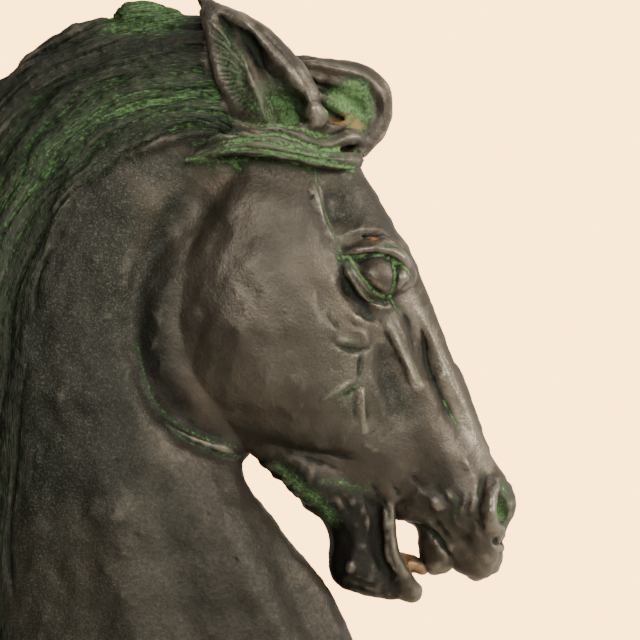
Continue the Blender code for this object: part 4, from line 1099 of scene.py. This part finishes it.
def patinaValues(clay, fine, broad):
    # How much each thing that ages the skin, and the painted shade and painted highlights, count at each point,
    # from 0 to 1, and the way that the hair runs.
    w = weathering
    recess, rubbedAndSheen = [
        sum(weight * np.clip((sign * depth - start) / span, 0, 1)
            for depth, (start, span, weight) in zip((fine, broad), w[name]))
        for name, sign in (("recess", 1), ("rubbedAndSheen", -1))]
    points = clay.points
    x, z, out = points[:, 0], points[:, 2], np.abs(points[:, 1])
    along, inset = flowOnCrest(points)
    hair = maneMask(clay, along, inset)
    # the worn ridges, and painted highlights of sheen along the lines listed
    rubbedAndSheen = np.maximum(rubbedAndSheen, alongLines(points, w["wearAndSheenLines"])) * (1 - 0.5 * hair)
    # bright green in the carving, and in the mane's grooves, most of all in the band behind the ear
    carved = [(path, *marked) for path, _, _, *marked in faceCarving["lines"] if marked]
    green = alongLines(points, [*w["greenLines"], *carved])
    band = np.clip(1 - np.abs(inset - w["maneGreenInset"]) / w["maneGreenReach"], 0, 1)
    band *= np.clip(1.15 - along * 1.2, 0.45, 1)
    green = np.maximum(green, hair * (0.5 + 0.5 * band) * np.clip(0.58 + 0.6 * recess, 0, 0.9))
    for outline, soft, nearest, amount, added, most in w["greenAreas"]:
        grown = inArea(points, outline, soft) * (out >= nearest) * np.clip(amount + added * recess, 0, most)
        green = np.maximum(green, grown)
    green = np.maximum(green, w["bloom"] * np.clip(recess - 0.25, 0, 1))
    dust = np.clip((60 - x) / 160, 0, 1) * np.clip((620 - z) / 60, 0, 1) * (1 - hair)
    for outline, soft, strength in w["dustAreas"]:
        dust = np.maximum(dust, strength * inArea(points, outline, soft))
    # painted shade, with the darker patina of the mane and of the areas listed: the shade mask
    shade = hair * w["maneShade"]
    for outline, soft, strength in w["shadeAndDarkPatinaAreas"]:
        shade = np.maximum(shade, strength * inArea(points, outline, soft))
    bare = np.zeros(len(points))
    for outline, soft, furthest in w["bareAreas"]:
        bare = np.maximum(bare, inArea(points, outline, soft) * (out < furthest))
    found = {"recess": recess, "rubbedAndSheen": rubbedAndSheen, "green": green, "dust": dust, "hair": hair, "shade": shade,
             "bare": bare}
    found = {name: np.clip(given, 0, 1) for name, given in found.items()}
    found["flowAlong"] = along * maneHair["crestLength"] * unit * w["flowStretch"]
    found["flowAcross"] = inset * unit
    return found


def addValue(mesh, name, values):
    # Stores a number for each point, for the material to read.
    layer = mesh.attributes.new(name, "FLOAT", "POINT")
    layer.data.foreach_set("value", np.ascontiguousarray(values, dtype=np.float32))


def toLinear(hexColour):
    # A colour of the screen as the renderer counts it.
    parts = [int(hexColour[i:i + 2], 16) / 255 for i in (1, 3, 5)]
    return (*[c / 12.92 if c <= 0.04045 else ((c + 0.055) / 1.055) ** 2.4 for c in parts], 1)


def addNode(tree, kind, settings=None, inputs=None, output=0):
    # One node with its settings and its inputs, links or constants. It hands back what the node gives.
    node = tree.nodes.new("ShaderNode" + kind)
    for name, value in (settings or {}).items():
        setattr(node, name, value)
    for name, value in (inputs or {}).items():
        if isinstance(value, bpy.types.NodeSocket):
            tree.links.new(value, node.inputs[name])
        else:
            node.inputs[name].default_value = value
    return node.outputs[output]


def newMaterial(name):
    # A material with its tree and its shader.
    material = bpy.data.materials.new(name)
    material.use_nodes = True
    return material, material.node_tree, material.node_tree.nodes["Principled BSDF"]


bronze = {
    "brown": "#48443c",
    "warm": "#4c3d30",
    "dark": "#3b3831",
    # colour of the painted shade, and of the dark patina under it
    "darkPatinaAndShade": "#191a15",
    "deep": "#121410",
    # colour of the worn metal on ridges, and of the painted highlights
    "rubbedAndSheen": "#8a8377",
    "greenDark": "#1f301c",
    "green": "#42663a",
    "greenPale": "#719a62",
    "dust": "#8ba184",
    "bare": "#8c6a44",
    "mottleMm": 26,      # clouds that the torch and the acid leave in the skin
    "patchMm": 60,       # warmer and cooler areas
    "speckleMm": 1.6,    # crumbs of verdigris
    "dotMm": 1.0,        # dusting, drawn twice as coarse as the real one so that it shows
    "grainMm": 2.4,      # cast and brushed skin, drawn coarser than the real one
    "strandMm": 0.9,     # hairs
    "noiseRoughness": 0.57,
    "greenCover": 0.85,  # how far the verdigris hides the brown
    "dustCover": 0.15,
    "metallic": 0.6,
    "roughness": 0.47,
    "bump": 0.0007,      # metres
}


def patinatedBronze():
    # Cast bronze under a dark brown chemical patina: a half metallic, satin brown skin that is black in the
    # recesses, paler and smoother on worn ridges, where painted highlights of sheen also lie, darker under
    # painted shade in the hollows, under the jaw and on the neck, and matt green where verdigris has grown.
    b = bronze
    material, tree, shader = newMaterial("patinatedCastBronze")
    place = addNode(tree, "TexCoord", output="Object")
    recess, rubbedAndSheen, green, dust, hair, shade, bare, along, across = [
        addNode(tree, "Attribute", {"attribute_name": name}, output="Fac")
        for name in ("recess", "rubbedAndSheen", "green", "dust", "hair", "shade", "bare", "flowAlong", "flowAcross")]
    # strands run with the mane: their own coordinates, in metres along and across the hair
    flow = addNode(tree, "CombineXYZ", {}, {"X": along, "Y": across})
    mottle, patch, speckle, dots, grain, strands = [
        addNode(tree, "TexNoise", {}, {"Vector": vector, "Scale": 1000 / b[size], "Detail": detail,
                                       "Roughness": b["noiseRoughness"]})
        for vector, size, detail in (
            (place, "mottleMm", 4), (place, "patchMm", 3), (place, "speckleMm", 2), (place, "dotMm", 2),
            (place, "grainMm", 4), (flow, "strandMm", 2))]

    # how much of each layer shows: the amounts to add up, then the limits between which the layer comes in
    product = {"operation": "MULTIPLY"}
    addUp = {"operation": "MULTIPLY_ADD"}
    softStep = {"interpolation_type": "SMOOTHSTEP"}
    streaks = addNode(tree, "Mix", {"data_type": "FLOAT"}, {"Factor": hair, "A": speckle, "B": strands})
    grown = addNode(tree, "Math", addUp, {0: streaks, 1: 0.9, 2: green})
    grown = addNode(tree, "Math", addUp, {0: grain, 1: 0.7, 2: grown})
    # painted shade: the dark ground comes in where the shade mask is high, broken by the grain
    uneven = addNode(tree, "Math", addUp, {0: grain, 1: 0.8, 2: 0.6})
    darkPatinaAndShade = addNode(tree, "Math", product, {0: shade, 1: uneven})
    greenIn = addNode(tree, "MapRange", softStep, {"Value": grown, "From Min": 0.92, "From Max": 1.65})
    layers = {}
    for name, source, low, high, most in (
            ("brown", mottle, 0.3, 0.72, 1.0),
            ("warm", patch, 0.48, 0.75, 0.5),
            ("darkPatinaAndShade", darkPatinaAndShade, 0.0, 1.1, 1.0),
            ("rubbedAndSheen", rubbedAndSheen, 0.1, 0.9, 1.0),
            ("deep", recess, 0.05, 0.7, 1.0),
            ("green", grown, 1.1, 1.75, 1.0),
            ("greenPale", grown, 1.4, 1.95, 0.85),
            ("dust", dots, 0.5, 0.72, b["dustCover"]),
            ("bare", grain, 0.3, 0.6, 1.0)):
        limits = {"Value": source, "From Min": low, "From Max": high, "To Max": most}
        layers[name] = addNode(tree, "MapRange", softStep, limits)
    # the worn ridges and the painted highlights, broken by the grain
    wearAndSheenBreakup = addNode(tree, "Math", addUp, {0: grain, 1: 0.7, 2: 0.2})
    for name, factor in (("rubbedAndSheen", wearAndSheenBreakup), ("dust", dust), ("bare", bare)):
        layers[name] = addNode(tree, "Math", product, {0: layers[name], 1: factor})
    layers["verdigris"] = addNode(tree, "Math", product, {0: greenIn, 1: b["greenCover"]})

    # the colours, from the ground up
    blend = {"data_type": "RGBA"}
    colours = {name: toLinear(b[name])
               for name in ("brown", "warm", "darkPatinaAndShade", "rubbedAndSheen", "deep", "green", "greenPale", "dust", "bare")}
    verdigris = toLinear(b["greenDark"])
    for name in ("green", "greenPale"):
        verdigris = addNode(tree, "Mix", blend, {0: layers[name], 6: verdigris, 7: colours[name]}, 2)
    colours["verdigris"] = verdigris
    colour = toLinear(b["dark"])
    for name in ("brown", "warm", "darkPatinaAndShade", "rubbedAndSheen", "deep", "verdigris", "dust", "bare"):
        colour = addNode(tree, "Mix", blend, {0: layers[name], 6: colour, 7: colours[name]}, 2)
    tree.links.new(colour, shader.inputs["Base Color"])

    # verdigris and the dirt in the recesses aren't metal
    dirty = addNode(tree, "Math", product, {0: recess, 1: 0.6})
    covered = addNode(tree, "Math", {"operation": "MAXIMUM"}, {0: greenIn, 1: dirty})
    metal = addNode(tree, "Math", addUp, {0: covered, 1: -b["metallic"], 2: b["metallic"]})
    tree.links.new(metal, shader.inputs["Metallic"])
    rough = b["roughness"] - 0.15  # what the grain's middle gives back
    for source, weight in ((grain, 0.3), (greenIn, 0.35), (recess, 0.2), (shade, 0.08), (rubbedAndSheen, -0.14)):
        rough = addNode(tree, "Math", addUp, {0: source, 1: weight, 2: rough})
    tree.links.new(rough, shader.inputs["Roughness"])

    combed = addNode(tree, "Math", product, {0: strands, 1: hair})
    height = 0.0
    for source, weight in ((grain, 0.5), (speckle, 0.35), (combed, 1.4)):
        height = addNode(tree, "Math", addUp, {0: source, 1: weight, 2: height})
    bump = addNode(tree, "Bump", {}, {"Strength": 0.8, "Distance": b["bump"], "Height": height})
    tree.links.new(bump, shader.inputs["Normal"])
    return material


# The casting, modelled, thinned and given its patina
grain = horse["grain"] * unit
casting = mainPiece(grain)
print("clay modelled:", len(casting.data.vertices), "points")
dropLooseShells(casting)
clay = Clay(casting)
densePoints = clay.points.copy()
fine, broad = hollows(clay, horse["fineRounds"]), hollows(clay, horse["broadRounds"])
cutFlat(casting, -horse["spareBase"] * unit)
thinOut(casting, horse["triangles"])
cutFlat(casting, 0)
keepInside(casting, cadBox)
casting.name = "bronzeHorseHead"
casting.data.name = "bronzeHorseHead"

nearby = KDTree(len(densePoints))
for index, point in enumerate(densePoints):
    nearby.insert(point, index)
nearby.balance()
nearest = np.array([nearby.find(v.co / unit)[1] for v in casting.data.vertices])
for name, given in patinaValues(Clay(casting), fine[nearest], broad[nearest]).items():
    addValue(casting.data, name, given)
print("patina placed")
for polygon in casting.data.polygons:
    polygon.use_smooth = True
casting.data.materials.clear()
casting.data.materials.append(patinatedBronze())
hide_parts("horse_head")
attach(casting, "root")
print("casting finished")


studio = {
    "floor": "#f0e8da",
    "backdrop": "#fac27a",
    "roomTint": "#fbf1e2",
    "distance": 1900 * unit,
    "yaw": 10,            # degrees behind square-on
    "target": (180, 0, 420),
    "sensor": 36,         # mm
    "lens": 36 * 1900 / 640,
    "backdropStrength": 8.0,
    "roomDim": 0.12,      # brightness of the room behind the horse's neck, and in front of its nose
    "roomBright": 1.5,
    "softBoxes": (  # name, place, size, watts, colour
        ("keyLight", (0.1, -1.7, 0.95), (1.0, 0.7), 21, "#fff6ea"),
        ("fillLight", (1.5, -0.8, 0.9), (0.8, 0.8), 26, "#fff2e2"),
        ("topLight", (0.0, 0.3, 1.5), (1.2, 1.2), 3, "#ffffff"),
    ),
    "lampAim": (0.07, 0, 0.26),
    "floorSolid": 0.22,   # metres from the middle where the floor begins to fade into the backdrop
    "floorGone": 0.42,
}


def plainFloor():
    # A pale sheet under the bust, which fades out with distance, so that no horizon shows.
    bpy.ops.object.select_all(action="DESELECT")
    bpy.ops.mesh.primitive_circle_add(vertices=96, radius=7, fill_type="NGON", location=(0, 0, 0))
    floor = bpy.context.object
    floor.name = "studioFloor"
    material, tree, shader = newMaterial("mattePaper")  # uncoated sheet: pale, without gloss
    shader.inputs["Base Color"].default_value = toLinear(studio["floor"])
    shader.inputs["Roughness"].default_value = 0.9
    place = addNode(tree, "TexCoord", output="Object")
    gone = addNode(tree, "VectorMath", {"operation": "LENGTH"}, {"Vector": place}, "Value")
    limits = {"Value": gone, "From Min": studio["floorSolid"], "From Max": studio["floorGone"]}
    limits.update({"To Min": 1.0, "To Max": 0.0})
    solid = addNode(tree, "MapRange", {"interpolation_type": "SMOOTHSTEP"}, limits)
    tree.links.new(solid, shader.inputs["Alpha"])
    floor.data.materials.append(material)


def softBox(name, place, size, watts, colour):
    # A broad lamp that looks at the bust.
    bpy.ops.object.light_add(type="AREA", location=place)
    lamp = bpy.context.object
    lamp.name = name
    lamp.data.shape = "RECTANGLE"
    lamp.data.size, lamp.data.size_y = size
    lamp.data.energy = watts
    lamp.data.color = toLinear(colour)[:3]
    lamp.rotation_euler = (Vector(studio["lampAim"]) - Vector(place)).to_track_quat("-Z", "Y").to_euler()


def photoCamera():
    # The photograph's view: level, a little from behind, and narrow.
    turn = math.radians(studio["yaw"])
    ahead = Vector((math.sin(turn), math.cos(turn), 0))
    target = Vector(studio["target"]) * unit
    bpy.ops.object.camera_add(location=target - ahead * studio["distance"])
    camera = bpy.context.object
    camera.name = "photoCamera"
    camera.rotation_euler = ahead.to_track_quat("-Z", "Y").to_euler()
    camera.data.sensor_width = studio["sensor"]
    camera.data.lens = studio["lens"]
    camera.data.clip_start = 0.05
    bpy.context.scene.camera = camera


def paleRoom():
    # The lit backdrop itself, and the dimmer room that the bronze mirrors, brighter in front of the nose.
    world = bpy.data.worlds.new("paleRoom")
    world.use_nodes = True
    tree = world.node_tree
    room = tree.nodes["Background"]
    isSeen = addNode(tree, "LightPath", output="Is Camera Ray")
    way = addNode(tree, "SeparateXYZ", {}, {"Vector": addNode(tree, "TexCoord", output="Generated")}, "X")
    limits = {"Value": way, "From Min": -0.7, "From Max": 0.9}
    limits.update({"To Min": studio["roomDim"], "To Max": studio["roomBright"]})
    around = addNode(tree, "MapRange", {"interpolation_type": "SMOOTHSTEP"}, limits)
    limits = {"Value": isSeen, "To Min": around, "To Max": studio["backdropStrength"]}
    tree.links.new(addNode(tree, "MapRange", {}, limits), room.inputs["Strength"])
    colours = {0: isSeen, 6: toLinear(studio["roomTint"]), 7: toLinear(studio["backdrop"])}
    tree.links.new(addNode(tree, "Mix", {"data_type": "RGBA"}, colours, 2), room.inputs["Color"])
    bpy.context.scene.world = world


plainFloor()
paleRoom()
for name, place, size, watts, colour in studio["softBoxes"]:
    softBox(name, place, size, watts, colour)
photoCamera()
print("studio set")
